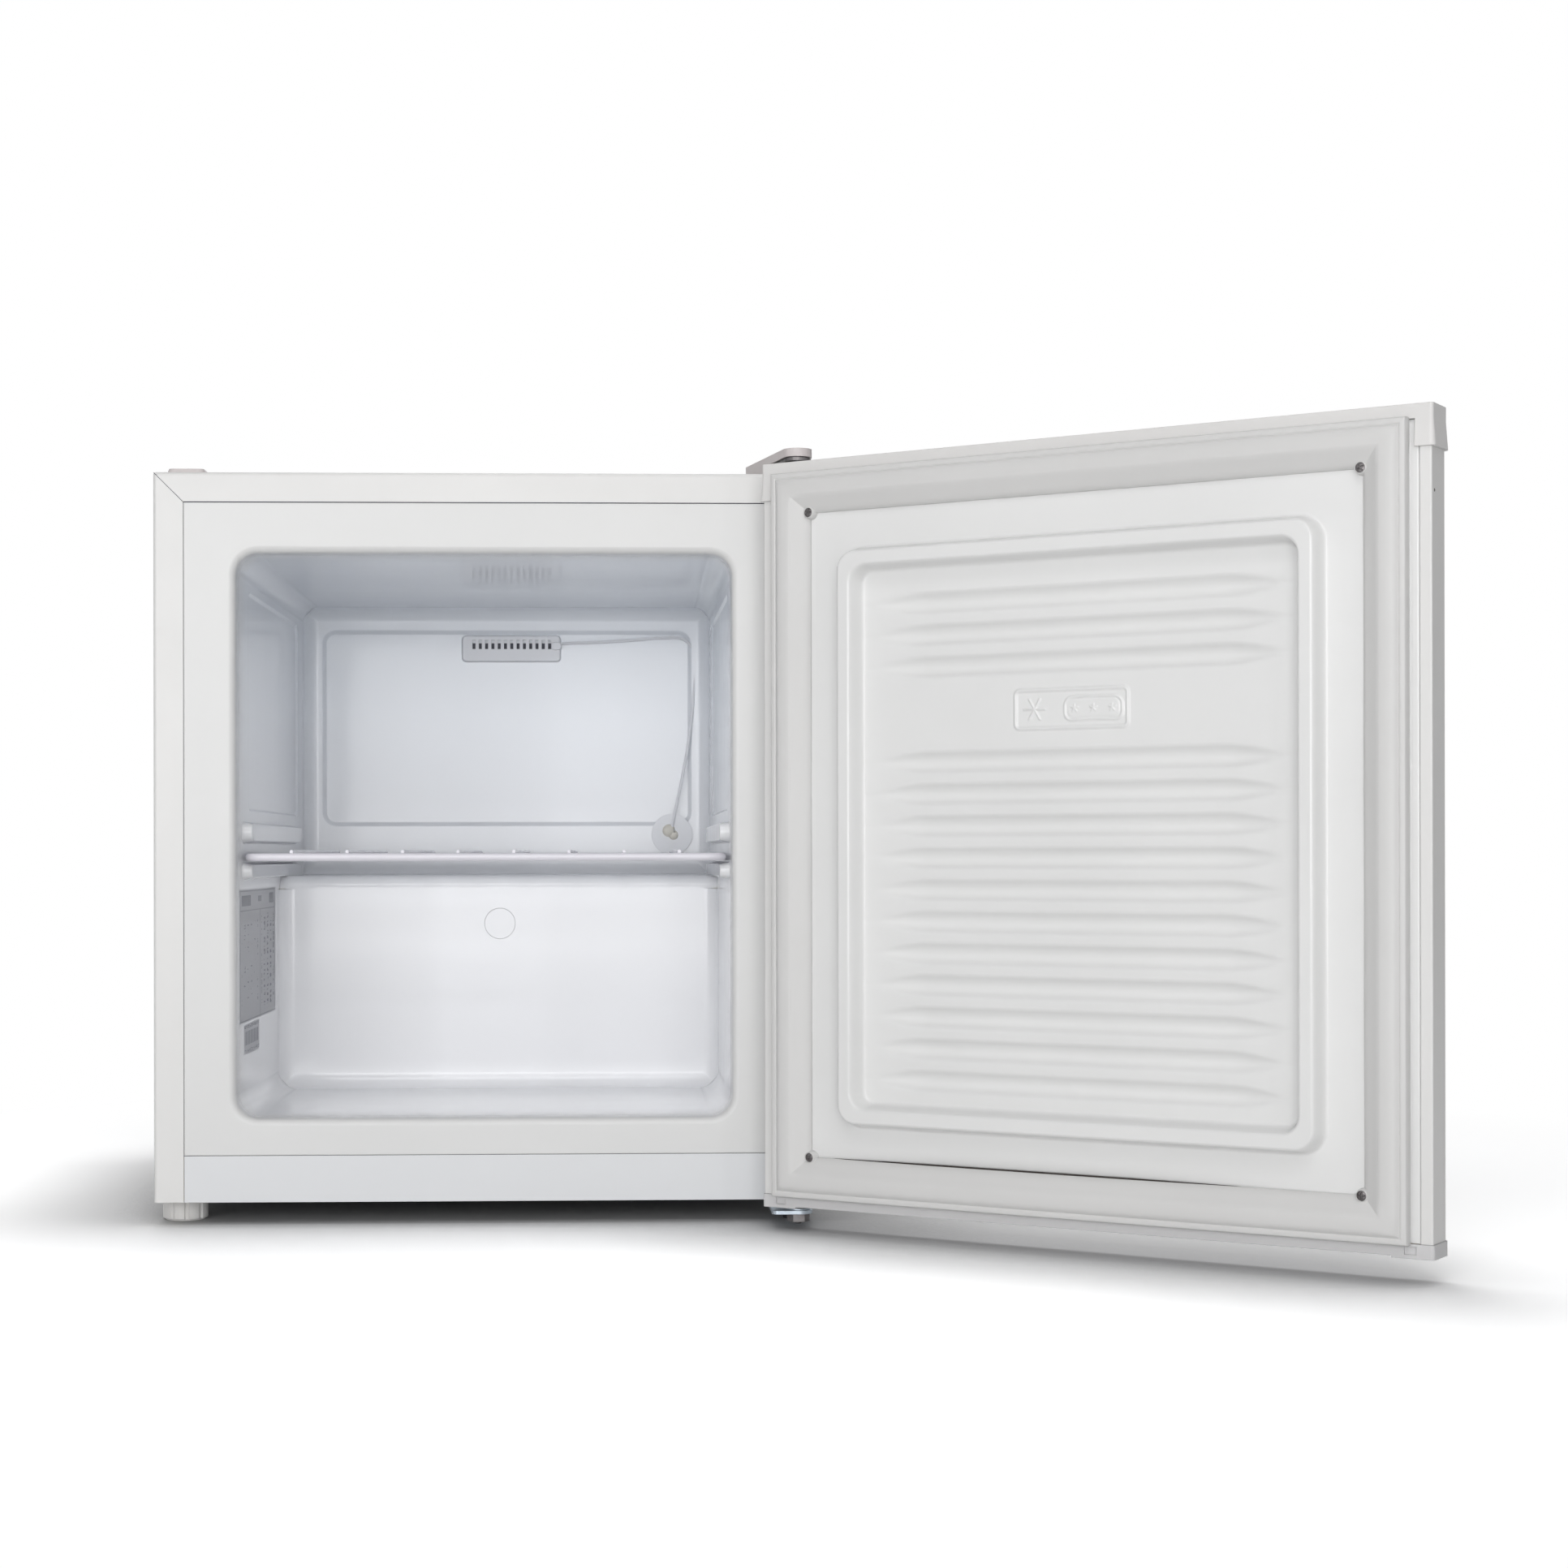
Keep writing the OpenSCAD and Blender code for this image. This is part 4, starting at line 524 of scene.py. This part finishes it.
def liner_height(x, z):
    """How far the sheet stands out towards the cavity at a place on the door."""
    x -= door_middle.x
    rim = (ease((sheet_half.x - abs(x)) / rim_bend.x)
           * ease((sheet_half.y - abs(z - door_middle.y)) / rim_bend.y))
    outer = ease((outer_foot - outside(x, z - ring_z, *ring_outside)) / outer_bend)
    well = outside(x, z - ring_z, *ring_inside)
    ring = ring_height * min(outer, ease((inner_foot + well) / inner_bend))
    crease = crease_depth * lifted(x) * max(0.0, 1 - abs(z - crease_z) / crease_half)
    return ring - rim_depth * (1 - rim) - crease - (groove_depth(x, z) if well < 0 else 0)

print("grooves:", len(groove_z))

# %% The formed sheet of the door liner
def drawn_sheet(lines_x, lines_z, height):
    """A grid whose lines lie at the given marks, pressed to a mould's height."""
    sheet = bmesh.new()
    columns, rows = len(lines_x) - 1, len(lines_z) - 1
    bmesh.ops.create_grid(sheet, x_segments=columns, y_segments=rows, size=0.5)
    for point in sheet.verts:
        x = lines_x[round((point.co.x + 0.5) * columns)]
        z = lines_z[round((point.co.y + 0.5) * rows)]
        point.co = (x, face_y + height(x, z), z)
    bmesh.ops.reverse_faces(sheet, faces=sheet.faces)
    return sheet


sheet_x = ruled((5.4, 8, 1.3), (8, 12, 0.5), (12, 56, 8.8), (56, 84, 0.9), (84, 124, 2.5),
                (124, 318, 9.7), (318, 358, 2.5), (358, 386, 0.9), (386, 430, 8.8),
                (430, 434, 0.5), (434, 434.6, 0.6))
sheet_z = ruled((9.4, 12, 0.5), (12, 34.2, 7.4), (34.2, 36.4, 0.55), (36.4, 54, 8.8),
                (54, 80, 0.9), (80, 398, 1.45), (398, 432, 0.9), (432, 476, 8.8),
                (476, 478.5, 0.5))
liner_sheet = piece("door_liner_form", drawn_sheet(sheet_x, sheet_z, liner_height),
                    "liner_white", "door", DOOR, crisp=80,
                    replaces=("door_liner",))
wall = liner_sheet.modifiers.new("wall", "SOLIDIFY")
wall.thickness = 0.0016
wall.offset = -1

# %% [markdown]
# Between the third groove and the fourth the mould carries a small mark in relief: a frame, a
# snow star, and a field of three smaller stars. It is far finer than the sheet's own grid, so
# it gets a patch of its own with half-millimetre squares. The patch lies a hair above the sheet
# and dips under it at its border, so that no seam shows.

# %% Ribs and stars
mark_spot = Vector((221, 320.5))
tip = 1.2


def ridge(distance, half, height):
    """A soft rib round the line where distance is 0."""
    share = max(0.0, 1 - (distance / half) ** 2)
    return height * share * share


def star(x, z, reach, arms, half, turn=0.0):
    """Straight arms from one middle, each a soft rib that fades at its tip."""
    best = 0.0
    for k in range(arms):
        angle = turn + 2 * math.pi * k / arms
        along = x * math.cos(angle) + z * math.sin(angle)
        across = -x * math.sin(angle) + z * math.cos(angle)
        if along > -half:
            best = max(best, ridge(across, half, half) * ease((reach - along) / tip))
    return best

print("mark at", tuple(mark_spot))

# %% The relief on the door liner
field_middle = 15
star_pitch = 12.5
over_sheet, under_sheet = 0.03, 0.3


def mark_height(x, z):
    x, z = mark_spot.x - x, z - mark_spot.y
    from_field = x - field_middle
    bowed = z - 0.3 + 0.0022 * from_field ** 2
    frame_line = ridge(outside(x, z, 75, 23.5, 3), 1.6, 1.1)
    field_line = ridge(outside(from_field, bowed, 38, 14, 5), 1.3, 0.95)
    field = 0.5 * ease(-outside(from_field, z, 37, 13, 5) / 2)
    high = max(frame_line, field_line, field, star(x + 24.5, z, 8.2, 6, 0.95))
    for shift in (-star_pitch, 0, star_pitch):
        high = max(high, field + star(from_field - shift, z, 3.1, 5, 0.75, math.pi / 2))
    border = ease(-outside(x, z, 81, 29.5, 4) / 1.5)
    return high + over_sheet * border - under_sheet * (1 - border)


square = 0.5
mark_x = [mark_spot.x - 42 + square * i for i in range(169)]
mark_z = [mark_spot.y - 16 + square * i for i in range(65)]
piece("door_liner_relief", drawn_sheet(mark_x, mark_z, mark_height),
      "liner_white", "door", DOOR, crisp=80)

# %% [markdown]
# The seal is one extruded profile of soft plastic, mitred and welded at the corners. The fold
# line at each corner shows where the four lengths meet. Sweeping a profile along a path would
# round the corners, so each mitre gets its own outline of the profile, and neighbouring outlines
# are bridged. Then the long faces are divided, and the seal gets what a soft one always has: a
# lower lip that sags and stands a little off the liner.

# %% The magnetic seal
seal_half = Vector((210.7, 235.35))
profile = [(0.3, 0.0), (0.0, 1.5), (0.0, 6.2), (0.6, 7.4), (1.8, 7.9), (3.4, 7.9), (4.2, 7.4),
           (4.9, 8.2), (6.2, 9.5), (8.0, 10.1), (11.0, 10.2), (14.2, 10.1), (15.6, 9.8),
           (18.0, 8.2), (20.5, 6.4), (23.0, 4.9), (24.8, 3.6), (26.0, 2.3), (26.7, 1.0),
           (26.9, 0.2), (20.0, 0.1), (10.0, 0.0)]


def seal_outline(shape, side_x, side_z):
    """The profile on one mitre, as a closed chain of edges."""
    corner = [shape.verts.new((door_middle.x + side_x * (seal_half.x - inwards), face_y + high,
                               door_middle.y + side_z * (seal_half.y - inwards)))
              for inwards, high in profile]
    return [shape.edges.new((a, b)) for a, b in zip(corner, corner[1:] + corner[:1])]


def sag(point):
    """Moves a point of the seal the way soft plastic hangs and creeps."""
    x, z = point.x - door_middle.x, point.z - door_middle.y
    inner_lip = ease((220 - abs(z)) / 8) * ease((abs(z) - 200) / 5)
    loose = lifted(x, 1.3) * inner_lip * (1.0 if z < 0 else 0.2)
    point.y += 1.6 * loose + 0.12 * math.sin(x / 17) * math.sin(z / 23)
    point.z -= 0.5 * loose


seal = bmesh.new()
mitres = [seal_outline(seal, *side) for side in ((1, 1), (1, -1), (-1, -1), (-1, 1))]
for here, there in zip(mitres, mitres[1:] + mitres[:1]):
    bmesh.ops.bridge_loops(seal, edges=here + there)
long_edges = [e for e in seal.edges if e.calc_length() > 200]
bmesh.ops.subdivide_edges(seal, edges=long_edges, cuts=36, use_grid_fill=True)
for point in seal.verts:
    sag(point.co)
bmesh.ops.recalc_face_normals(seal, faces=seal.faces)
piece("door_seal_profile", seal, "seal_grey", "door", DOOR, crisp=28,
      replaces=("door_seal",))

# %% [markdown]
# The thermostat feels the cold through a thin capillary tube. It leaves the slotted cover, runs
# along under the ceiling of the sunk panel, hangs down in a slack bow and ends in the lump of
# putty on its grommet. Nobody bends such a tube over a form, so a curve with smooth handles is
# closer to it than straight lengths with knees. Behind the slots a dark plate is painted shade:
# it stands for the shade in the hollow of the cover and makes the slots look dark.

# %% The slack sensor tube
def soft_tube(name, points, radius, finish, replaces):
    """A round tube along a smooth curve through the given points."""
    path = bpy.data.curves.new(name, "CURVE")
    path.dimensions = "3D"
    path.bevel_depth = radius
    path.bevel_resolution = 4
    path.resolution_u = 10
    path.use_fill_caps = True
    line = path.splines.new("BEZIER")
    line.bezier_points.add(len(points) - 1)
    for knot, spot in zip(line.bezier_points, points):
        knot.co = spot
        knot.handle_left_type = knot.handle_right_type = "AUTO"
    holder = bpy.data.objects.new(name + "_path", path)
    tube = bmesh.new()
    tube.from_mesh(bpy.data.meshes.new_from_object(holder))
    bpy.data.objects.remove(holder)
    piece(name, tube, finish, replaces=replaces)


back_y = 378.2
# The tube's lighter, bluer white is painted light, as in the rest of the cavity.
soft_tube("sensor_tube_slack",
          [(257, back_y, 401.5), (265, back_y, 402.6), (290, back_y - 0.3, 403.6),
           (320, back_y - 0.6, 405.4), (348, back_y - 0.5, 407.4), (362, back_y - 0.3, 406.4),
           (369.5, back_y - 0.3, 399), (371.2, back_y - 0.4, 384), (370.6, back_y - 1.4, 360),
           (367.5, back_y - 4, 330), (362.5, back_y - 5.5, 300), (357.2, back_y - 5, 274),
           (354.2, back_y - 5, 260), (352.4, back_y - 4.6, 252)],
          1.15, "painted_cool_light_white", replaces=("sensor_tube",))

# %% Painted shade behind the slots
def block(shape, size, middle=(0, 0, 0), turn=0.0):
    """Adds a box of a given size, turned about its own Y axis, to a shape."""
    made = bmesh.ops.create_cube(shape, size=1)["verts"]
    bmesh.ops.scale(shape, vec=size, verts=made)
    bmesh.ops.rotate(shape, cent=(0, 0, 0), matrix=Matrix.Rotation(turn, 3, "Y"), verts=made)
    bmesh.ops.translate(shape, vec=middle, verts=made)


def soften(shape, width, segments=2):
    """Rounds every edge of a shape."""
    bmesh.ops.bevel(shape, geom=shape.edges[:], offset=width, offset_type="OFFSET",
                    segments=segments, profile=0.5, material=-1, affect="EDGES")


slot_shade = bmesh.new()
block(slot_shade, (73, 0.8, 15), (223.2, 378.85, 395.4))
soften(slot_shade, 0.3)
piece("slot_shade_plate", slot_shade, "painted_shade_dark")

# %% [markdown]
# Thin things printed or stuck on need no mould. The two sheets on the left wall are cards, and
# their print is worked out in the finish. The large one has a ruled frame, columns of short grey
# strokes and three dark bars, the small one a striped block between two rows of specks. They say
# nothing, as a plain part should.

# %% Print for the sheets on the side wall
paper = (0.93, 0.94, 0.98)
ink_grey = (0.26, 0.27, 0.34)


class Print(Finish):
    """Ink on a sheet that lies between two corners (depth, height) on the left wall."""

    def __init__(self, name, low, high):
        super().__init__(name, paper, 0.18)
        low, high = CABINET @ Vector((0, *low)), CABINET @ Vector((0, *high))
        self.across = (self.place("Y") - low.y) / (high.y - low.y)
        self.up = (self.place("Z") - low.z) / (high.z - low.z)
        spot = self.node("ShaderNodeCombineXYZ", {}, {0: self.across * 9, 1: self.up * 42})
        self.speck = self.node("ShaderNodeTexNoise", {"noise_dimensions": "2D"},
                               {"Vector": spot, "Scale": 1.0, "Detail": 1.0})

    def area(self, left, right, low, high):
        """1 inside a rectangle, in shares of the sheet, and 0 elsewhere."""
        return self.inside(self.across, left, right) * self.inside(self.up, low, high)

    def inked(self, *inks):
        self.feed(Base_Color=self.mix(self.either(*inks), paper, ink_grey))
        return self.material

print("paper and ink:", paper, ink_grey)

# %% The large and the small print
large_spot = (19, 117), (196, 208)
large = Print("ruled print", *large_spot)
across, up, speck = large.across, large.up, large.speck
rules = large.either(large.near(across, 0.02, 0.007), large.near(across, 0.98, 0.007),
                     large.near(up, 0.012, 0.005), large.near(up, 0.988, 0.005),
                     large.near(up, 0.84, 0.004) * large.inside(across, 0.02, 0.98),
                     large.near(across, 0.56, 0.006) * (up < 0.84))
columns = large.near(large.part_of(across * 11), 0.5, 0.24)
finishes["print_large"] = large.inked(
    rules * 0.5,
    columns * (speck > 0.54) * large.area(0.6, 0.96, 0.08, 0.8) * 0.75,
    columns * (speck > 0.66) * large.area(0.06, 0.5, 0.12, 0.78) * 0.6,
    large.area(0.06, 0.3, 0.875, 0.955) * 0.8,
    large.area(0.5, 0.6, 0.9, 0.945) * 0.64,
    large.area(0.82, 0.94, 0.88, 0.96) * 0.64)

small_spot = (40, 95), (112, 115.5)
small = Print("small print", *small_spot)
finishes["print_small"] = small.inked(
    (small.part_of(small.across * 13) > 0.45) * small.area(0.06, 0.94, 0.3, 0.76) * 0.75,
    (small.speck > 0.47) * small.inside(small.up, 0.86, 0.97) * 0.6,
    (small.speck > 0.5) * small.inside(small.up, 0.04, 0.16) * 0.5)
print("prints ready, finishes:", len(finishes))

# %% [markdown]
# The cards have a known fault. They should be a tenth of a millimetre thick, but Solidify goes by
# the normals from before the points were moved. The second skin then slides up in the plane of
# the first, so a card is flat, and it renders darker than its paper. Calling normal_update() on
# the card just ahead of Solidify gives it the thickness.

# %% The sheets on the side wall
card_gap, card_thickness = 0.03, 0.1


def wall_x(depth):
    """How far the left wall stands in at a given depth; the wall leans in like any mould."""
    return 54.2 + 2.8 / 376.5 * depth


def stuck_sheet(name, low, high, finish):
    """A card between two corners (depth, height) on the left wall."""
    card = bmesh.new()
    bmesh.ops.create_grid(card, x_segments=8, y_segments=4, size=0.5)
    for point in card.verts:
        depth = low[0] + (high[0] - low[0]) * (point.co.x + 0.5)
        height = low[1] + (high[1] - low[1]) * (point.co.y + 0.5)
        point.co = (wall_x(depth) + card_gap, depth, height)
    bmesh.ops.solidify(card, geom=card.faces[:], thickness=-card_thickness)
    bmesh.ops.recalc_face_normals(card, faces=card.faces)
    piece(name, card, finish, crisp=30)


stuck_sheet("wall_sheet_large", *large_spot, "print_large")
stuck_sheet("wall_sheet_small", *small_spot, "print_small")

# %% [markdown]
# A plain ring is moulded into the front of the step, where makers mark a plastic. It is a round
# profile spun about its axis and sunk halfway into the wall, which is how a wire in the mould
# would leave it.

# %% Moulded ring and a turned shape
def turned(outline, steps=28, closed=False):
    """Spins a half outline of (radius, height) round the Z axis."""
    shape = bmesh.new()
    corners = [shape.verts.new((radius, 0, height)) for radius, height in outline]
    ends = corners[1:] + (corners[:1] if closed else [])
    edges = [shape.edges.new(pair) for pair in zip(corners, ends)]
    bmesh.ops.spin(shape, geom=corners + edges, axis=(0, 0, 1), cent=(0, 0, 0),
                   angle=2 * math.pi, steps=steps, use_merge=True)
    bmesh.ops.remove_doubles(shape, verts=shape.verts, dist=0.001)
    bmesh.ops.recalc_face_normals(shape, faces=shape.faces)
    return shape


TO_FRONT = Matrix.Rotation(math.pi / 2, 4, "X")
TO_BACK = Matrix.Rotation(-math.pi / 2, 4, "X")
wire_radius = 0.2
wire = [(11.5 + wire_radius * math.cos(math.pi * k / 4), wire_radius * math.sin(math.pi * k / 4))
        for k in range(8)]
mark_ring = turned(wire, steps=48, closed=True)
mark_ring.transform(Matrix.Translation((220.5, 223.62, 180)) @ TO_FRONT)
piece("moulded_ring", mark_ring, "cavity_white")

# %% [markdown]
# All round the front, the folded edge of the outer sheet meets the liner's own edge, and the
# joint between them lies in shade. Dark bars laid in the joint are painted shade for it. They
# are widest under the top, where the sheet is folded over the rail, and they also fill the two
# mitred corners. Flat bars with eased edges make them.

# %% Painted shade in the joint of the front
joint = bmesh.new()
for width, length, x, z, turn in ((399.4, 0.75, 220, 467.0, 0), (399.4, 0.3, 220, 31.15, 0),
                                  (0.3, 436.5, 20.15, 249, 0), (0.3, 436.5, 419.85, 249, 0),
                                  (0.32, 27.0, 10.0, 477.0, -45), (0.32, 27.0, 430.0, 477.0, 45)):
    block(joint, (width, 0.3, length), (x, 0.12, z), math.radians(turn))
soften(joint, 0.05, segments=1)
piece("front_joint_shade", joint, "painted_shade_dark")

# %% [markdown]
# Sheet metal is held by self-tapping screws with a flat round head and a crossed slot. The head
# is turned from its outline, and the slot is made the way the heading tool makes it: the points
# of the head that lie inside a cross are pushed down. Every hole gets one, turned a bit further
# than the last, as screws end up. A head is open underneath, and its outline starts a hair off
# the axis, which leaves a hole of a few thousandths of a millimetre in the middle.

# %% A crossed screw head
def cross_head(radius, height):
    rings = [radius * share for share in (0.001, 0.1, 0.2, 0.3, 0.4, 0.5, 0.6, 0.75, 0.88, 0.96)]
    outline = [(r, height * math.sqrt(1 - (r / radius) ** 2 * 0.75)) for r in rings]
    head = turned(outline + [(radius, height * 0.35), (radius, -0.3)], steps=40)
    slot_half, slot_reach, slot_depth = radius * 0.13, radius * 0.62, height * 0.75
    for point in head.verts:
        if (min(abs(point.co.x), abs(point.co.y)) < slot_half
                and point.co.xy.length < slot_reach):
            point.co.z -= slot_depth
    return head


def add_part(shape, part):
    """Adds one shape to another and lets go of the first."""
    copy = bpy.data.meshes.new("copy")
    part.to_mesh(copy)
    part.free()
    shape.from_mesh(copy)
    bpy.data.meshes.remove(copy)

print("screw head ready")

# %% Crossed screws on the back
def screws(name, spots, radius, height, finish="zinc_steel", body="cabinet", ruler=CABINET,
           replaces=()):
    """Screw heads at the given spots, all facing the back."""
    heads = bmesh.new()
    for number, spot in enumerate(spots):
        head = cross_head(radius, height)
        head.transform(Matrix.Translation(spot) @ TO_BACK @ Matrix.Rotation(number * 2.1, 4, "Z"))
        add_part(heads, head)
    piece(name, heads, finish, body, ruler, 40, replaces)


screws("back_panel_screws",
       [(x, 411.2, z) for x in (8, 432) for z in (190, 283, 376, 470)]
       + [(x, 411.2, 479) for x in (115, 220, 325)]
       + [(x, 411.2, 181) for x in (115, 325)], 3.4, 1.7)
screws("deck_screws", [(x, 409.2, 5.8) for x in (24, 220, 416)], 3.2, 1.6)
screws("thermostat_screws", [(x, 410, z) for z in (165.5, 108.3) for x in (306, 366)], 2.6, 1.3)

# %% [markdown]
# Four more of these screws hold the liner through the inner corners of the seal. Each sits in a
# small boss of the seal's own plastic, whose flank slopes so that the door wipes clean. The boss
# is turned like the head, as a closed profile spun about the screw's axis.

# %% Screws and bosses at the corners of the seal
corner_spots = [(door_middle.x + side_x * 183.4, face_y, door_middle.y + side_z * 208.6)
                for side_x in (-1, 1) for side_z in (-1, 1)]
# Painted shade: these heads are dark steel because they sit in the seal's holes, and the dark
# colour stands for the shade there.
screws("liner_corner_screws", [(x, y + 4.2, z) for x, y, z in corner_spots], 2.95, 0.8,
       "dark_steel", "door", DOOR, ("liner_screws",))
bosses = bmesh.new()
for spot in corner_spots:
    boss = turned([(2.95, 3.4), (3.0, 5.3), (3.15, 5.5), (3.4, 5.3), (4.0, 2.4), (4.3, -0.2),
                   (2.95, -0.2)], steps=36, closed=True)
    boss.transform(Matrix.Translation(spot) @ TO_BACK)
    add_part(bosses, boss)
piece("seal_corner_bosses", bosses, "seal_grey", "door", DOOR)

# %% [markdown]
# The free edge of the door has one small hole in its side, where the foam's air escaped while
# it was blown in. A shallow dimple with a rolled rim stands for it, and its dark colour is
# painted shade for the inside of the hole. Like a screw head, it is open underneath and has a
# tiny hole in the middle.

# %% Vent hole in the door's free edge
vent = turned([(0.001, 0.02), (0.5, 0.03), (0.62, 0.1), (0.8, 0.1), (0.95, 0.03), (1.0, -0.1)],
              steps=20)
vent.transform(Matrix.Translation((-2, -17.5, 438)) @ Matrix.Rotation(-math.pi / 2, 4, "Y"))
piece("door_vent_hole", vent, "magnet_strip", "door", DOOR)

# %% [markdown]
# Along the bottom the seal's inner lip has come a little off the liner, and the gap under it
# lies in shade as a line that fades out at both ends. A thin dark strip in the crease that the
# mould has at that place is painted shade for it, wide in the middle and drawn to a point at
# each end. The faces at the two points have no area.

# %% Painted shade in the crease under the seal's lifted lip
strip_middle, strip_half = 251, 163
strip_width = 1.1
crease_shade = bmesh.new()
bmesh.ops.create_grid(crease_shade, x_segments=40, y_segments=1, size=0.5)
for point in crease_shade.verts:
    share = point.co.x * 2
    height = point.co.y * strip_width * (1 - share ** 4)
    point.co = (strip_middle + strip_half * share, face_y - 0.45, crease_z - 0.2 + height)
bmesh.ops.reverse_faces(crease_shade, faces=crease_shade.faces)
bmesh.ops.solidify(crease_shade, geom=crease_shade.faces[:], thickness=0.2)
bmesh.ops.recalc_face_normals(crease_shade, faces=crease_shade.faces)
# The near-black of the magnet strip is painted shade here.
piece("seal_crease_shade", crease_shade, "magnet_strip", "door", DOOR)

# %% [markdown]
# A thermostat has a scale round its knob. Here it is seven raised marks that grow longer from
# the warm end to the cold end, each a small bar with softened edges.

# %% Scale round the thermostat knob
knob_low, knob_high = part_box("thermostat_knob")
knob_middle = CABINET.inverted() @ ((knob_low + knob_high) / 2)
box_face = Matrix.Translation((knob_middle.x, 410.15, knob_middle.z))
marks_from = 17.2
scale = bmesh.new()
for k in range(7):
    length = 1.6 + 0.3 * k
    bar = bmesh.new()
    block(bar, (1.1, 0.5, length), (0, 0, marks_from + length / 2))
    soften(bar, 0.15)
    bar.transform(box_face @ Matrix.Rotation(math.radians(45 * k - 135), 4, "Y"))
    add_part(scale, bar)
piece("thermostat_scale", scale, "black_plastic")

# %% [markdown]
# The freezer stands on a plain white sweep, which has to look white without more light on the
# freezer. To the camera its colour is therefore a lighter one than it has for the light in the
# room, and far from the freezer it turns into plain white. Close to the freezer it is ordinary
# paint that takes real shadows, and it is darkened further where the freezer stands in the way
# of the open room, because a bright sweep loses those soft contact shadows.

# %% Floor and backdrop
def sweep_paint(name):
    material = bpy.data.materials.new(name)
    material.use_nodes = True
    nodes = Nodes(material.node_tree)
    nodes.tree.nodes.remove(next(n for n in nodes.tree.nodes if n.type == "BSDF_PRINCIPLED"))
    paint, pale, dusk = [nodes.node("ShaderNodeBsdfDiffuse", {}, {"Color": (*colour, 1)})
                         for colour in ((0.9, 0.9, 0.9), (1.7, 1.7, 1.7), (0.36, 0.36, 0.365))]
    openness = nodes.node("ShaderNodeAmbientOcclusion", {"samples": 6}, {"Distance": 0.17},
                          out="AO") ** 2.0
    away = nodes.node("ShaderNodeVectorMath", {"operation": "LENGTH"}, {0: nodes.place()},
                      out="Value")
    seen = nodes.blend(nodes.between(away, 0.62, 1.0), nodes.blend(openness, dusk, pale),
                       nodes.node("ShaderNodeEmission"))
    by_camera = nodes.node("ShaderNodeLightPath", out="Is Camera Ray")
    nodes.hand_over(nodes.blend(by_camera, paint, seen), "Material Output")
    return material


sweep = bmesh.new()
bmesh.ops.create_grid(sweep, x_segments=1, y_segments=1, size=30)
sweep_data = bpy.data.meshes.new("floor")
sweep.to_mesh(sweep_data)
sweep.free()
floor = bpy.data.objects.new("floor", sweep_data)
bpy.context.collection.objects.link(floor)
floor.data.materials.append(sweep_paint("white sweep"))
print("floor laid")

# %% [markdown]
# The light from all round is the world's colour, and it is weak. The camera sees plain white in
# its place. Gloss sees it nearly white in front of the freezer and dimmer behind it, as most
# rooms are brighter on the side one looks from, which gives edges and tubes a shape.

# %% Room light
world = bpy.data.worlds.new("soft room")
scene.world = world
world.use_nodes = True
room = Nodes(world.node_tree)
room.tree.nodes.remove(room.tree.nodes["Background"])
depth = room.place("Y", "Generated")
dimming = room.between(depth, -0.3, 0.6, 0.9, 0.3)
sky, gloss, seen = [
    room.node("ShaderNodeBackground", {}, {"Color": (*colour, 1), "Strength": strength})
    for colour, strength in (((0.98, 0.985, 1), 0.22), ((0.97, 0.98, 1), dimming), ((1, 1, 1), 1))]
by_gloss = room.node("ShaderNodeLightPath", out="Is Glossy Ray")
by_camera = room.node("ShaderNodeLightPath", out="Is Camera Ray")
room.hand_over(room.blend(by_camera, room.blend(by_gloss, sky, gloss), seen), "World Output")
print("room lit")

# %% [markdown]
# Two large soft lamps hang in front, close to the camera's line of sight, because only light
# from there reaches the back of a deep white box, as a hand lamp would have to be held beside
# the eye. A weak one from above lights the top. Three narrow ones draw bright lines along
# rounded edges, and one behind lights the condenser and the compressor.

# %% Lamps
def soft_lamp(name, place, aim, size, power):
    """A rectangle of light of a given size and power that faces its aim."""
    data = bpy.data.lights.new(name, "AREA")
    data.shape = "RECTANGLE"
    data.size, data.size_y = size
    data.energy = power
    lamp = bpy.data.objects.new(name, data)
    bpy.context.collection.objects.link(lamp)
    lamp.location = place
    lamp.rotation_euler = (Vector(aim) - Vector(place)).to_track_quat("-Z", "Y").to_euler()


middle = (0, 0, 0.25)
soft_lamp("front_lamp", (-0.6, -3.0, 0.6), (-0.1, 0, 0.25), (2.6, 1.1), 38)
soft_lamp("high_lamp", (-0.2, -2.9, 3.0), (0.1, -0.1, 0.25), (2.4, 1.0), 28)
soft_lamp("top_lamp", (0.0, 0.3, 2.6), (0.1, -0.1, 0.2), (0.8, 0.8), 9)
for side, place, size in (("left", (-1.7, -2.6, 0.45), (0.12, 1.2)),
                          ("right", (1.5, -2.8, 0.45), (0.12, 1.2)),
                          ("upper", (0.1, -2.9, 1.7), (1.2, 0.12))):
    soft_lamp("edge_lamp_" + side, place, middle, size, 3.5)
soft_lamp("rear_lamp", (-0.3, 2.8, 1.5), middle, (2.6, 1.2), 22)
